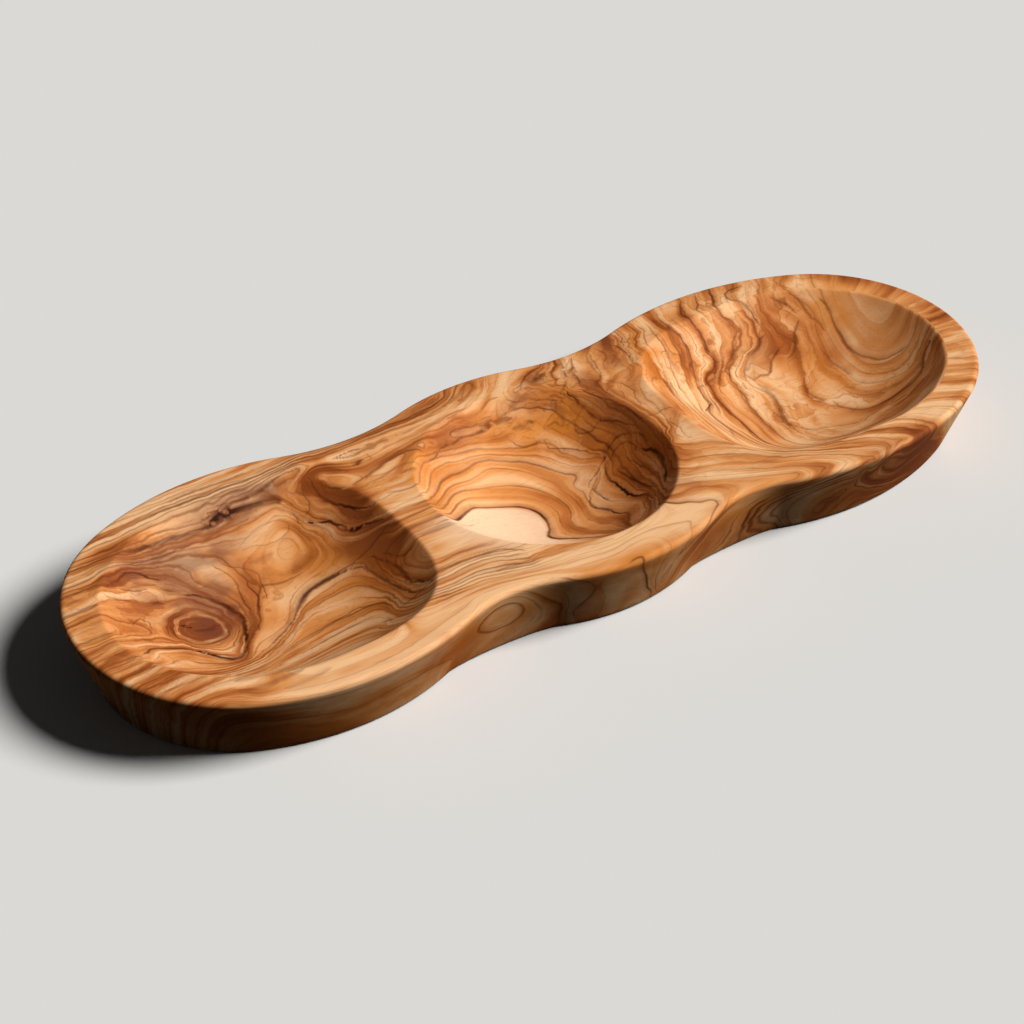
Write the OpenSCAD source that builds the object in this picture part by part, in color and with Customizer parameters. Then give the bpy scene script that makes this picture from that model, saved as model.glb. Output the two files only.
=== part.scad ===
// Three-well olive dish, carved from a single block of olive wood.
// Millimetres. X runs along the dish, Y across it, and Z = 0 is the table.
// The rim is flat, the sides lean in towards the foot, and each well is a shallow bowl.

/* [Block] */
// Length of the dish from tip to tip
dish_length = 300; // [280:1:330]
// Height of the rim above the table
dish_height = 23.5; // [20:0.5:30]

/* [Left lobe] */
// Radius of the left end
left_end_r = 48.8; // [42:0.2:54]
// How much further than the end's radius the left lobe swells to each side
left_swell = 3.1; // [2:0.1:6]
// Distance from the centre of the left end to the left lobe's widest place
left_flank = 14; // [10:0.5:20]
// Width of the rim at the left tip
left_tip_rim = 10.5; // [6:0.5:14]
// Width of the bridge between the middle well and the left well
left_bridge = 11.5; // [8:0.5:16]

/* [Right lobe] */
// Radius of the right end
right_end_r = 46.4; // [42:0.2:54]
// How much further than the end's radius the right lobe swells to each side
right_swell = 4.4; // [2:0.1:6]
// Distance from the centre of the right end to the right lobe's widest place
right_flank = 19.5; // [14:0.5:26]
// Width of the rim at the right tip
right_tip_rim = 9; // [6:0.5:14]
// Width of the bridge between the middle well and the right well
right_bridge = 9.5; // [8:0.5:16]

/* [Middle] */
// Half-width of the dish beside the middle well
middle_half_w = 51; // [48:0.2:54]
// Radius of the outward swell beside the middle well
middle_swell_r = 56; // [50:1:90]
// Half-width of the dish at its waists, between the lobes
waist_half_w = 43.8; // [41:0.2:46]
// Diameter of the round middle well at the rim
middle_well_d = 76; // [60:1:78]

/* [Wells] */
// Width of the rim beside the two end wells, where the lobes are widest
side_rim = 12; // [9:0.2:16]
// Depth of the wells below the rim
well_depth = 16; // [10:0.5:17]
// Steepness of the bowls: 2 is a plain round bottom, more is flatter with steeper walls
bowl_power = 2.4; // [2:0.1:3.5]
// Squareness of the end wells towards the bridges: 2 is an ellipse
inner_square = 2.9; // [2:0.1:4]

/* [Edges] */
// How far the foot's edge lies inside the rim's edge, round the ends and the lobes
foot_inset = 7.4; // [2:0.2:9]
// How far the foot's edge lies inside the rim's edge at the waists
waist_inset = 6; // [2:0.2:9]
// Radius of the rounded outer edge of the rim
rim_round = 1.4; // [0.5:0.1:3]
// Radius of the rounded edge under the foot
foot_round = 1.8; // [0.5:0.1:3]

/* [Hidden] */
wood = "#C48A4C";
outline_step = 4; // length of the short chords that follow the outline
corner_steps = 4; // chords around each rounded edge
bowl_sides = 60; // chords around each bowl
bowl_rings = 9; // rings from a bowl's bottom to its rim
spare = 1; // how far shapes run past the faces that trim them

// Direction in degrees from one point to another
function heading(from, to) = atan2(to[1] - from[1], to[0] - from[0]);

// The outline is a chain of arcs that share a tangent where they meet. An arc is
// [centre, radius, first angle, last angle]; a negative radius makes a hollow.

// The flank arc holds the end arc inside it and touches the lobe's widest place.
function flank_r(end_r, swell, flank) =
    (flank * flank + (end_r + swell) * (end_r + swell) - end_r * end_r) / (2 * swell);

swell_centre = [0, middle_half_w - middle_swell_r];

// The waist arc touches the flank, the middle swell and the line y = waist_half_w.
// Its centre's x is the smaller root of a quadratic, and its radius follows from it.
function waist_x(flank_centre, r) =
    let (x = flank_centre[0],
         lobe_drop = flank_centre[1] + r - waist_half_w,
         swell_drop = middle_half_w - waist_half_w,
         a = pow(waist_half_w - flank_centre[1], 2) - r * r,
         b = pow(waist_half_w - swell_centre[1], 2) - middle_swell_r * middle_swell_r,
         c = swell_drop * (x * x + a) - lobe_drop * b)
    c / (swell_drop * x
         + sqrt(swell_drop * swell_drop * x * x - (swell_drop - lobe_drop) * c));
function waist_r(x) =
    (x * x + pow(waist_half_w - swell_centre[1], 2) - middle_swell_r * middle_swell_r)
    / (2 * (middle_half_w - waist_half_w));

// One quarter of the outline, from a tip on the +X axis round to the +Y axis
function quarter_arcs(end_r, swell, flank) =
    let (end_centre = [dish_length / 2 - end_r, 0],
         side_r = flank_r(end_r, swell, flank),
         side_centre = [end_centre[0] - flank, end_r + swell - side_r],
         hollow_x = waist_x(side_centre, side_r),
         hollow_r = waist_r(hollow_x),
         hollow_centre = [hollow_x, waist_half_w + hollow_r],
         end_turn = heading(side_centre, end_centre),
         side_turn = heading(side_centre, hollow_centre),
         hollow_turn = heading(swell_centre, hollow_centre))
    [[end_centre, end_r, 0, end_turn],
     [side_centre, side_r, end_turn, side_turn],
     [hollow_centre, -hollow_r, side_turn, hollow_turn],
     [swell_centre, middle_swell_r, hollow_turn, 90]];

// Points along arcs, each as [x, y, the angle that faces outwards, the foot's inset]
function along(arcs) =
    [for (arc = arcs)
        let (turn = arc[3] - arc[2],
             count = ceil(abs(arc[1] * turn) * PI / 180 / outline_step))
        for (i = [0 : count - 1])
            let (angle = arc[2] + turn * i / count,
                 waist_share = arc[1] < 0 ? sin(180 * i / count) : 0)
            [arc[0][0] + arc[1] * cos(angle), arc[0][1] + arc[1] * sin(angle), angle,
             foot_inset + (waist_inset - foot_inset) * waist_share]];
function flipped(points) =
    [for (i = [len(points) - 1 : -1 : 0])
        let (p = points[i]) [-p[0], p[1], 180 - p[2], p[3]]];
function mirrored(points) =
    [for (i = [len(points) - 1 : -1 : 0])
        let (p = points[i]) [p[0], -p[1], -p[2], p[3]]];
right_quarter = along(quarter_arcs(right_end_r, right_swell, right_flank));
left_quarter = along(quarter_arcs(left_end_r, left_swell, left_flank));
far_side = concat(right_quarter, [[0, middle_half_w, 90, foot_inset]],
                  flipped(left_quarter));
near_side = mirrored([for (i = [1 : len(far_side) - 2]) far_side[i]]);
outline = concat(far_side, near_side);

// The side wall in section, as [distance outside the rim's edge, height]. Its two round
// edges are circles, and the straight side between them is their common tangent.
function corner(centre, r, angles) =
    [for (angle = angles) centre + r * [cos(angle), sin(angle)]];
function wall(inset) =
    let (rim_centre = [-rim_round, dish_height - rim_round],
         foot_centre = [-inset - foot_round, foot_round],
         run = rim_centre - foot_centre,
         lean = atan2(run[0], run[1]) - asin((foot_round - rim_round) / norm(run)))
    concat([[foot_centre[0], -spare]],
           corner(foot_centre, foot_round,
                  [for (i = [0 : corner_steps]) -90 + (90 - lean) * i / corner_steps]),
           corner(rim_centre, rim_round,
                  [-lean, for (i = [0 : corner_steps]) 90 * i / corner_steps]),
           [[rim_centre[0], dish_height + spare]]);

// A closed skin over rings of points, which all have the same count. Each ring runs
// anticlockwise seen from above, and the first ring is the lowest.
module skin(rings) {
    count = len(rings[0]);
    last = len(rings) - 1;
    function at(ring, i) = ring * count + i % count;
    polyhedron(
        [for (ring = rings) each ring],
        concat([[for (i = [0 : count - 1]) at(0, i)]],
               [for (ring = [0 : last - 1], i = [0 : count - 1], half = [0, 1])
                   half == 0 ? [at(ring, i), at(ring + 1, i + 1), at(ring, i + 1)]
                             : [at(ring, i), at(ring + 1, i), at(ring + 1, i + 1)]],
               [[for (i = [count - 1 : -1 : 0]) at(last, i)]]));
}

// The uncarved block: its leaning side, trimmed flat at the rim and under the foot
module block() {
    walls = [for (p = outline) wall(p[3])];
    intersection() {
        skin([for (level = [0 : len(walls[0]) - 1])
            [for (i = [0 : len(outline) - 1])
                let (p = outline[i], w = walls[i][level])
                [p[0] + w[0] * cos(p[2]), p[1] + w[0] * sin(p[2]), w[1]]]]);
        translate([-dish_length, -dish_length, 0])
            cube([2 * dish_length, 2 * dish_length, dish_height]);
    }
}

// A bowl-shaped cutter. Its plan is a squared ellipse, with one squareness towards -X
// and another towards +X, and it is widest where the rim cuts it.
bowl_over = 1.05; // how far the cutter's last ring lies outside the rim's line
first_ring = 0.06; // size of the flat spot at the bowl's bottom
function squared(angle, half_l, half_w, square) =
    pow(pow(abs(cos(angle)) / half_l, square) + pow(abs(sin(angle)) / half_w, square),
        -1 / square);
module bowl(x, half_l, half_w, square_left, square_right)
    skin([for (ring = [0 : bowl_rings])
        let (share = first_ring + (bowl_over - first_ring) * sin(90 * ring / bowl_rings),
             z = dish_height - well_depth * (1 - pow(share, bowl_power)))
        [for (i = [0 : bowl_sides - 1])
            let (angle = 360 * i / bowl_sides,
                 square = cos(angle) < 0 ? square_left : square_right,
                 r = share * squared(angle, half_l, half_w, square))
            [x + r * cos(angle), r * sin(angle), z]]]);

// An end well runs from its bridge to its tip rim, and is squared towards the bridge.
module left_well() {
    inner = -middle_well_d / 2 - left_bridge;
    outer = -dish_length / 2 + left_tip_rim;
    bowl((inner + outer) / 2, (inner - outer) / 2, left_end_r + left_swell - side_rim,
         2, inner_square);
}
module right_well() {
    inner = middle_well_d / 2 + right_bridge;
    outer = dish_length / 2 - right_tip_rim;
    bowl((inner + outer) / 2, (outer - inner) / 2, right_end_r + right_swell - side_rim,
         inner_square, 2);
}
module middle_well()
    bowl(0, middle_well_d / 2, middle_well_d / 2, 2, 2);

module dish()
    color(wood)
        difference() {
            block();
            left_well();
            middle_well();
            right_well();
        }

dish();
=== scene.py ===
import bmesh
import bpy
import math
import numpy as np
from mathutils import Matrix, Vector


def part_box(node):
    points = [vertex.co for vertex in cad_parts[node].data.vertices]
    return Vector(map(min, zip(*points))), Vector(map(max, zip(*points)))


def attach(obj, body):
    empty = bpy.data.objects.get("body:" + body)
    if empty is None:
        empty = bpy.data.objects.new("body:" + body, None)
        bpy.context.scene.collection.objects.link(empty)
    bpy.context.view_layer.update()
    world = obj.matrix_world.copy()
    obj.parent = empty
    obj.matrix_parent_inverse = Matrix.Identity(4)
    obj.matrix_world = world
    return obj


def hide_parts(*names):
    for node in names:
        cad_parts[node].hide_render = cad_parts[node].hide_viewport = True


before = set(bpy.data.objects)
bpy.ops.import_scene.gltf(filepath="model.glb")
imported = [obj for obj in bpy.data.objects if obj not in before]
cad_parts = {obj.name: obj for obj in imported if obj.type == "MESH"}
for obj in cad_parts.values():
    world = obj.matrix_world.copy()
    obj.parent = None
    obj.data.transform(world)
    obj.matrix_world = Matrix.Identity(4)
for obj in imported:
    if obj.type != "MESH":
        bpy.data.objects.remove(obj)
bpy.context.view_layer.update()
scene = bpy.context.scene
scene.view_settings.view_transform = "Standard"

# ---- The block ------------------------------------------------------------------------
# One plank of olive wood, sawn to a lobed outline, with its side planed in towards a
# smaller foot, and its edges rounded over with sandpaper. Sizes are in millimetres, and MM
# turns them into the frame's metres.
MM = 0.001
low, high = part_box("dish")
length = (high.x - low.x) / MM
height = (high.z - low.z) / MM
middle_well_r = 38
left_bridge = 11.5
right_bridge = 9.5
# Each lobe: end radius, swell beyond it, distance to the widest place, middle of its bridge
left_lobe = (48.8, 3.1, 14, middle_well_r + left_bridge / 2)
right_lobe = (46.4, 4.4, 19.5, middle_well_r + right_bridge / 2)
# Each long side, cut by hand: half-width in the middle, radius of the swell there, waist
far_side = (49.7, 72, 43.9)
near_side = (51.6, 66.5, 43.0)
rim_round = 1.4
foot_round = 1.8
foot_inset = 7.4
waist_inset = 5.4
# Points along the arcs of each lobe and each long side, and down the side
end_steps, flank_steps, hollow_steps, swell_steps = 54, 66, 12, 26
edge_steps, side_steps = 6, 16


def arc(centre, r, first, last, count, hollow=(0, 0)):
    """Points along an arc as rows of x, y, the angle that faces outwards and the hollowness,
    which rises from 0 to 1 and falls again along a hollow; hollow is its share of that."""
    share = np.arange(count) / count
    angle = first + (last - first) * share
    place = hollow[0] + (hollow[1] - hollow[0]) * share
    return np.column_stack([centre[0] + r * np.cos(angle), centre[1] + r * np.sin(angle),
                            angle, np.sin(math.pi * place)])


def quarter(lobe, side):
    """One quarter of the outline, from the tip on +X round to +Y, as two runs of points
    that meet at the middle of the bridge."""
    end_r, swell, flank, bridge_x = lobe
    half_w, swell_r, waist = side
    end_x = length / 2 - end_r
    flank_r = (flank ** 2 + (end_r + swell) ** 2 - end_r ** 2) / (2 * swell)
    flank_x, flank_y = end_x - flank, end_r + swell - flank_r
    swell_y = half_w - swell_r
    # The hollow touches the flank, the middle swell and the line y = waist.
    lobe_drop = flank_y + flank_r - waist
    swell_drop = half_w - waist
    a = (waist - flank_y) ** 2 - flank_r ** 2
    b = (waist - swell_y) ** 2 - swell_r ** 2
    c = swell_drop * (flank_x ** 2 + a) - lobe_drop * b
    root = (swell_drop * flank_x) ** 2 - (swell_drop - lobe_drop) * c
    hollow_x = c / (swell_drop * flank_x + math.sqrt(root))
    hollow_r = (hollow_x ** 2 + b) / (2 * swell_drop)
    hollow_y = waist + hollow_r
    end_turn = math.atan2(-flank_y, end_x - flank_x)
    flank_turn = math.atan2(hollow_y - flank_y, hollow_x - flank_x)
    swell_turn = math.atan2(hollow_y - swell_y, hollow_x)
    bridge_turn = math.acos((hollow_x - bridge_x) / hollow_r)
    bridge_share = (bridge_turn - flank_turn) / (swell_turn - flank_turn)
    hollow = (hollow_x, hollow_y)
    round_lobe = np.vstack([
        arc((end_x, 0), end_r, 0, end_turn, end_steps),
        arc((flank_x, flank_y), flank_r, end_turn, flank_turn, flank_steps),
        arc(hollow, -hollow_r, flank_turn, bridge_turn, hollow_steps, (0, bridge_share))])
    round_middle = np.vstack([
        arc(hollow, -hollow_r, bridge_turn, swell_turn, hollow_steps, (bridge_share, 1)),
        arc((0, swell_y), swell_r, swell_turn, math.pi / 2, swell_steps),
        [[0, half_w, math.pi / 2, 0]]])
    return round_lobe, round_middle


def to_left(points):
    """Outline points mirrored from +X to -X"""
    return points[::-1] * [-1, 1, -1, 1] + [0, 0, math.pi, 0]


def to_near(points):
    """Outline points mirrored from +Y to -Y"""
    return points[::-1] * [1, -1, -1, 1]


right_far, middle_far_right = quarter(right_lobe, far_side)
right_near, middle_near_right = quarter(right_lobe, near_side)
left_far, middle_far_left = quarter(left_lobe, far_side)
left_near, middle_near_left = quarter(left_lobe, near_side)
# Runs of the outline between the bridges, each anticlockwise seen from above and each
# starting on a bridge
right_run = np.vstack([to_near(np.vstack([right_near, middle_near_right[:1]])), right_far[1:]])
far_run = np.vstack([middle_far_right, to_left(middle_far_left)[1:-1]])
left_run = np.vstack([to_left(np.vstack([left_far, middle_far_left[:1]])),
                      to_near(to_left(left_near))[1:]])
near_run = np.vstack([to_near(to_left(middle_near_left)), to_near(middle_near_right)[1:-1]])
outline = np.vstack([right_run, far_run, left_run, near_run])


def shifted(points, distance, z):
    """Points moved outwards from the outline by a distance, at height z"""
    return np.column_stack([points[:, 0] + distance * np.cos(points[:, 2]),
                            points[:, 1] + distance * np.sin(points[:, 2]),
                            np.broadcast_to(z, len(points))])


def wall(inset):
    """The side in section, as rows of distance outside the rim's edge and height, from the
    rim down to the foot: two round edges and the straight side that touches both"""
    rim_centre = np.array([-rim_round, height - rim_round])
    foot_centre = np.array([-inset - foot_round, foot_round])
    run = rim_centre - foot_centre
    lean = math.atan2(run[0], run[1]) - math.asin((foot_round - rim_round) / math.hypot(*run))
    rim_turn = np.linspace(math.pi / 2, -lean, edge_steps)
    foot_turn = np.linspace(-lean, -math.pi / 2, edge_steps)
    rim_edge = rim_centre + rim_round * np.column_stack([np.cos(rim_turn), np.sin(rim_turn)])
    foot_edge = foot_centre + foot_round * np.column_stack([np.cos(foot_turn), np.sin(foot_turn)])
    steps = np.linspace(0, 1, side_steps)[1:-1, None]
    return np.vstack([rim_edge, rim_edge[-1] + (foot_edge[0] - rim_edge[-1]) * steps, foot_edge])


# ---- The wells ------------------------------------------------------------------------
# Three bowls turned and carved out of the plank with a gouge, sanded smooth. Their floor
# rounds up into steeper walls, and their lip is a crisp edge that sanding only just broke.
well_depth = 16
bowl_power = 2.4
inner_square = 2.9
side_rim = 12
left_tip_rim = 10.5
right_tip_rim = 9
lip_round = 0.6
# Rings from the bottom of a well to its lip, a little closer together near the lip, over the
# lip, and across the rim
bowl_steps, bowl_crowding = 48, 0.9
lip_steps = 4
rim_steps = 19


def well_between(inner, outer, half_w, square_left, square_right):
    """A well from x = inner to x = outer: middle, half-length, half-width and how square
    its left and right halves are, where 2 is an ellipse"""
    return ((inner + outer) / 2, abs(outer - inner) / 2, half_w, square_left, square_right)


left_well = well_between(-middle_well_r - left_bridge, left_tip_rim - length / 2,
                         left_lobe[0] + left_lobe[1] - side_rim, 2, inner_square)
middle_well = well_between(-middle_well_r, middle_well_r, middle_well_r, 2, 2)
right_well = well_between(middle_well_r + right_bridge, length / 2 - right_tip_rim,
                          right_lobe[0] + right_lobe[1] - side_rim, inner_square, 2)


def well_rings(well, edge):
    """Rings of points from the bottom of a well over its lip and across the flat rim to a
    closed edge; the edge's points lie along spokes from the well's centre."""
    x, half_l, half_w, square_left, square_right = well
    spokes = edge - [x, 0]
    angle = np.arctan2(spokes[:, 1], spokes[:, 0])
    square = np.where(np.cos(angle) < 0, square_left, square_right)
    lip = ((np.abs(np.cos(angle)) / half_l) ** square
           + (np.abs(np.sin(angle)) / half_w) ** square) ** (-1 / square)
    along = np.column_stack([np.cos(angle), np.sin(angle)])
    rings = []
    for share in np.linspace(0, 1, bowl_steps) ** bowl_crowding:
        inside = share * (lip - lip_round)
        z = height - well_depth * (1 - (inside / lip) ** bowl_power)
        rings.append(np.column_stack([[x, 0] + along * inside[:, None], z]))
    drop = rings[-1][:, 2] - height
    for share in np.arange(1, lip_steps + 1) / lip_steps:
        # A quadratic curve eases the wall over the lip into the flat rim.
        reach = lip - lip_round + 2 * lip_round * share
        z = height + drop * (1 - share) ** 2
        rings.append(np.column_stack([[x, 0] + along * reach[:, None], z]))
    flat = rings[-1][:, :2]
    for share in np.linspace(0, 1, rim_steps)[1:]:
        rings.append(np.column_stack([flat + (edge - flat) * share, np.full(len(edge), height)]))
    return rings


# ---- The figure of the wood -----------------------------------------------------------
# Growth layers of a gnarled old olive trunk: a branch knot in the left well, layers that
# the carved bowls cut like contour lines, and burl at the far rim. The layers that catch
# the eye are drawn one by one, and a thin sheet bent through them gives all the others.

# The skin is laid out flat for this: plan on top, and the side folded up to lie level.
# Each line is its layer, its darkness from 0 to 1, and its points in mm.
knot_lines = [
    (1, 0.3, [(-114, 7.5), (-112.5, 9), (-110, 8.7), (-107.8, 7), (-108, 4.8), (-110, 3.8),
        (-112.5, 4.2), (-114, 5.8), (-114, 7.5)]),
    (2, 0.15, [(-117, 7), (-115, 11), (-111, 12), (-107, 10.3), (-105.3, 7), (-106, 3.3),
        (-109.5, 1.3), (-114, 1.6), (-116.7, 4), (-117, 7)]),
    (3, 0.25, [(-120.5, 7.5), (-118, 12.3), (-112, 14.6), (-106.5, 13), (-103, 9), (-103, 4),
        (-106, 0.3), (-112, -1.4), (-117.5, 0.6), (-120.3, 4.5), (-120.5, 7.5)]),
    (4, 0.35, [(-148, 15), (-139, 15), (-134, 16.5), (-129, 18.3), (-123, 18.5), (-116, 18.3),
        (-109, 17.6), (-103.5, 14), (-100.8, 9), (-100.8, 4), (-103, -0.5), (-107, -4.5),
        (-112, -4.6), (-117, -0.5), (-122.5, 2), (-129, 1.5), (-135, -1), (-148, -4)]),
    (3, 0.3, [(-148, 11), (-140, 10.8), (-133, 10.5), (-127, 10)]),
    (3, 0.3, [(-148, -0.5), (-140, 0), (-133, 3.5), (-127, 5)]),
    (5, 0.5, [(-148, 23), (-138, 22.8), (-131, 22.8), (-126, 24.3), (-121, 26.8), (-116, 26.7),
        (-110, 25.6), (-106.5, 23.8), (-104, 19.5), (-101, 15.5), (-99, 11), (-98.3, 6.5),
        (-99.5, 2), (-103, -3), (-108, -9)]),
    (5, 0.4, [(-108, -9.3), (-113, -6.5), (-118, -2.5), (-123, -0.8), (-128, -1.5), (-132, -3.5),
        (-136, -8), (-140, -10.5), (-148, -11)]),
    (5.5, 0.5, [(-103, 23), (-99.5, 17.5), (-96.5, 12.5), (-95.8, 8), (-97, 3), (-100, -1),
        (-104.5, -6.5)]),
    (6, 0.6, [(-146, 26), (-140, 26), (-133, 26.5), (-127, 28.3), (-120, 29.8), (-112, 29.8),
        (-104, 29), (-97, 28.3), (-93.5, 26.5), (-92, 23.5), (-89.5, 20.5), (-87.5, 18), (-88, 14),
        (-91, 10), (-94, 4), (-97.5, -0.5), (-102, -5), (-107, -11.5), (-113, -12), (-120, -10)]),
]
left_well_lines = [
    (7, 0.4, [(-146, 29), (-135, 29.3), (-128, 30.5), (-118, 31.2), (-105, 31.6), (-95, 31.8),
        (-85, 31.6), (-76, 31.8), (-71, 31.5), (-68, 28.5), (-67, 25), (-65.5, 21), (-63, 15),
        (-61.5, 10), (-57, 6.8), (-52.5, 4.6)]),
    (8, 0.5, [(-147, 32), (-137, 32), (-121, 32.3), (-112, 33.5), (-104, 34.4), (-96, 34.2),
        (-90, 34.3), (-86, 35.6), (-83, 37.5), (-78, 37.2), (-72, 37), (-66, 38.2), (-60, 38.8)]),
    (8.5, 0.6, [(-50, 37.6), (-42, 37), (-34, 36.4), (-27, 36.2), (-20, 37), (-12, 38.3),
        (-6, 39.3), (-3, 41.5), (1, 44.5), (4, 47.5)]),
    (8, 0.3, [(-71, 34.2), (-68.5, 31.5), (-66.5, 28), (-65.5, 24.5), (-63.5, 21.5), (-61.5, 18.5),
        (-60, 15), (-58.8, 12.3), (-57, 10.5), (-54.5, 8.8), (-52, 6.8), (-50.2, 5.2), (-43, 5),
        (-37.5, 5)]),
    (7, 0.5, [(-120, -17), (-112, -15), (-106, -12.8), (-100, -10.5), (-95, -8), (-90, -5.3),
        (-86, -2.5), (-83, 0.5), (-80, 3.2), (-76, 4.8), (-71, 4.4), (-66, 3.4), (-63, 2),
        (-62, -2), (-61.5, -7), (-61.2, -12), (-60.6, -17), (-60.3, -22), (-58, -27), (-52, -27.5),
        (-45, -27), (-38, -27.3), (-32, -30)]),
    (8, 0.6, [(-118, -20.5), (-110, -17.5), (-104, -14.8), (-98, -12.2), (-93, -9.5), (-88, -6.3),
        (-84, -3.5), (-78, -2.2), (-71, -2.6), (-67, -5), (-65, -10), (-64, -16), (-64, -24),
        (-61, -30), (-54, -31), (-46, -30.5), (-38, -32), (-30, -35)]),
    (9, 0.6, [(-114, -22.5), (-106, -19), (-97, -15), (-91, -13.2), (-85, -12.4), (-79, -11.6),
        (-75, -12), (-70, -14), (-67, -16.5), (-66.2, -20), (-67, -25), (-65, -31), (-58, -33.5)]),
    (10, 0.3, [(-108, -24.5), (-99, -20.5), (-91, -18.3), (-84, -17.6), (-77, -18), (-72, -20.5),
        (-70.5, -25), (-71, -31), (-66, -35.5), (-55, -36), (-42, -37), (-30, -39.5), (-18, -42),
        (-8, -43.3), (2, -42), (10, -42.8), (18, -45)]),
    (11, 0.45, [(-106, -29.5), (-98, -26.5), (-91, -24.5), (-85, -23.6), (-79, -24.3), (-75, -27),
        (-74, -33)]),
    (12, 0.25, [(-102, -34), (-94, -31), (-87, -30), (-81, -31), (-78, -35)]),
]
far_rim_lines = [
    (9, 0.45, [(-143, 35.8), (-130, 35.8), (-118, 36.8), (-108, 38.3), (-98, 38.9), (-88, 39.5),
        (-75, 39.6), (-66, 40.6), (-58, 41), (-50, 40.3), (-40, 39.8), (-30, 39.6), (-20, 40),
        (-12, 40.8), (-7, 42), (-2, 45), (1, 48)]),
    (10, 0.6, [(-135, 40.5), (-125, 40.3), (-115, 41), (-105, 42.3), (-95, 42.5), (-85, 42.2),
        (-75, 42), (-65, 42.5), (-58, 43.3), (-50, 42.4), (-40, 42), (-30, 42), (-20, 42.6),
        (-12, 43.5), (-5, 46)]),
    (11, 0.35, [(-120, 44.5), (-105, 45.5), (-90, 45.3), (-80, 45), (-72, 45.6), (-64, 46.2)]),
    (12, 0.3, [(-110, 48.3), (-95, 48.8), (-80, 48.4)]),
    (11, 0.5, [(13, 35), (16, 37), (19, 39.5), (24, 42), (28, 43)]),
    (12, 0.5, [(28, 34), (30, 38), (33, 43)]),
    (13, 0.5, [(36, 25.5), (39, 28), (41, 32), (42, 36), (43.5, 41)]),
    (14, 0.5, [(52, 27), (53, 31), (55, 36), (58, 42)]),
]
left_bridge_lines = [
    (6, 0.4, [(-38, -3.5), (-50, -3.5), (-54, -3), (-57, -3.5), (-58.3, -6), (-59, -11),
        (-58.5, -16), (-57.5, -21), (-55.5, -24.5), (-52, -25), (-47, -24.3), (-40, -25),
        (-34, -26.5)]),
    (5, 0.3, [(-38, -8.5), (-50, -8.5), (-54, -9), (-55.5, -12), (-55.2, -16), (-54, -19.5),
        (-51, -21.5), (-45, -21), (-36, -22)]),
    (7, 0.5, [(-50, 1.5), (-44, 1.5), (-38, 1.5), (-33, 4), (-29, 8), (-25, 12), (-21, 14.5),
        (-15, 15.3), (-9, 15.2), (-4, 14), (0, 12), (3.5, 8), (5.5, 3), (6, -2), (4, -7), (2, -11),
        (1.5, -15)]),
    (9, 0.4, [(-60.5, 34), (-59.8, 31), (-59.3, 27), (-58, 23.5), (-56, 19.5), (-54.5, 15.5),
        (-52.5, 12.8), (-50, 12.5), (-43, 13), (-38, 12.3), (-35.5, 13), (-32, 17.5), (-28, 22.5),
        (-23, 25.2), (-18, 26.8), (-13, 27.2), (-8, 27.4), (-3, 27), (0, 25.6), (4, 24.4), (7, 23),
        (11, 22), (14.5, 20), (16, 16), (19, 11), (22, 7), (24.5, 4)]),
    (10, 0.4, [(-57.5, 31), (-56.5, 27.5), (-55, 24.5), (-52.8, 22.5), (-50, 23.3), (-45, 24.3),
        (-40, 26), (-35, 27.7), (-30, 28.2), (-26, 27.8), (-21, 28.8), (-16, 30.6), (-12, 32.6),
        (-8, 33.6), (-3, 33.5), (1, 32.4), (6, 32), (11, 32)]),
]
middle_well_lines = [
    (6, 0.9, [(-38, -3.5), (-33, -2.5), (-29, 1), (-24, 5.5), (-20, 7.8), (-17, 7.8), (-12, 7),
        (-8, 6), (-5, 4), (-3.2, 1), (-3, -3), (-4, -8), (-7, -12), (-8.8, -15), (-6, -18),
        (-3, -22), (-1, -27), (0, -33)]),
    (8, 0.6, [(-37.5, 5), (-34, 8.5), (-30, 12), (-26, 16.5), (-22, 19.2), (-17, 21), (-12, 22.5),
        (-9, 23.8), (-4, 23.6), (1, 21.6), (6, 18.5), (10, 14), (13, 9), (16, 4), (17.5, 0.5),
        (14.5, -2), (11.5, -6), (11.5, -11), (13, -15), (12.7, -18), (14, -20), (12, -24), (9, -28),
        (6, -33)]),
    (8.5, 0.5, [(15.5, 2), (15.2, -4), (15.5, -10)]),
    (9, 0.3, [(24, 3), (21.5, 0), (20.5, -5), (20.5, -11), (19.8, -15.5), (21, -18), (22, -20.5),
        (19, -25), (15, -30), (11, -34.5)]),
    (10, 0.7, [(13, 31), (19, 29), (20.5, 25), (22.5, 21), (25, 17), (26, 12), (26.5, 8), (26.5, 3),
        (25, -3), (24.7, -8), (24.2, -14), (24.3, -19), (21, -25), (17, -30.5), (17, -34),
        (21, -36.6), (25, -39.5), (29, -43)]),
    (11, 0.4, [(22, 33), (25.5, 30), (27, 27), (28, 24), (28.3, 20), (30, 15.5), (31.5, 12),
        (32.5, 7), (32, 3), (29.5, -1), (28.7, -7), (28.3, -13), (27.5, -18), (24, -24.5),
        (22, -29), (26, -29.5), (31, -31.5), (36, -34), (42, -37), (50, -40.5), (57, -44)]),
    (12, 0.4, [(29.5, 27), (32, 22), (33.5, 17), (34.5, 12), (35.3, 7), (35, 2), (33.3, -2),
        (32.6, -7), (33, -10), (31.5, -14), (29.5, -18), (27.5, -22), (29.5, -25.5), (36, -28.5),
        (42, -32), (50, -36.3), (58, -41), (66, -46.5)]),
    (13, 0.45, [(36, 20), (37.3, 12), (38, 4), (38, -6), (35, -15), (33, -20.3), (40, -22.3),
        (46, -25.5), (52, -30), (57, -34), (63, -38), (70, -42), (75, -45.5), (78, -48.8)]),
    (14, 0.4, [(45, 14), (43, 5), (41, -5), (37, -12.5), (42, -15.5), (48, -18.8), (53, -25),
        (60, -33), (68, -38), (75, -41.5), (82, -45), (86, -48.8)]),
]
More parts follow.
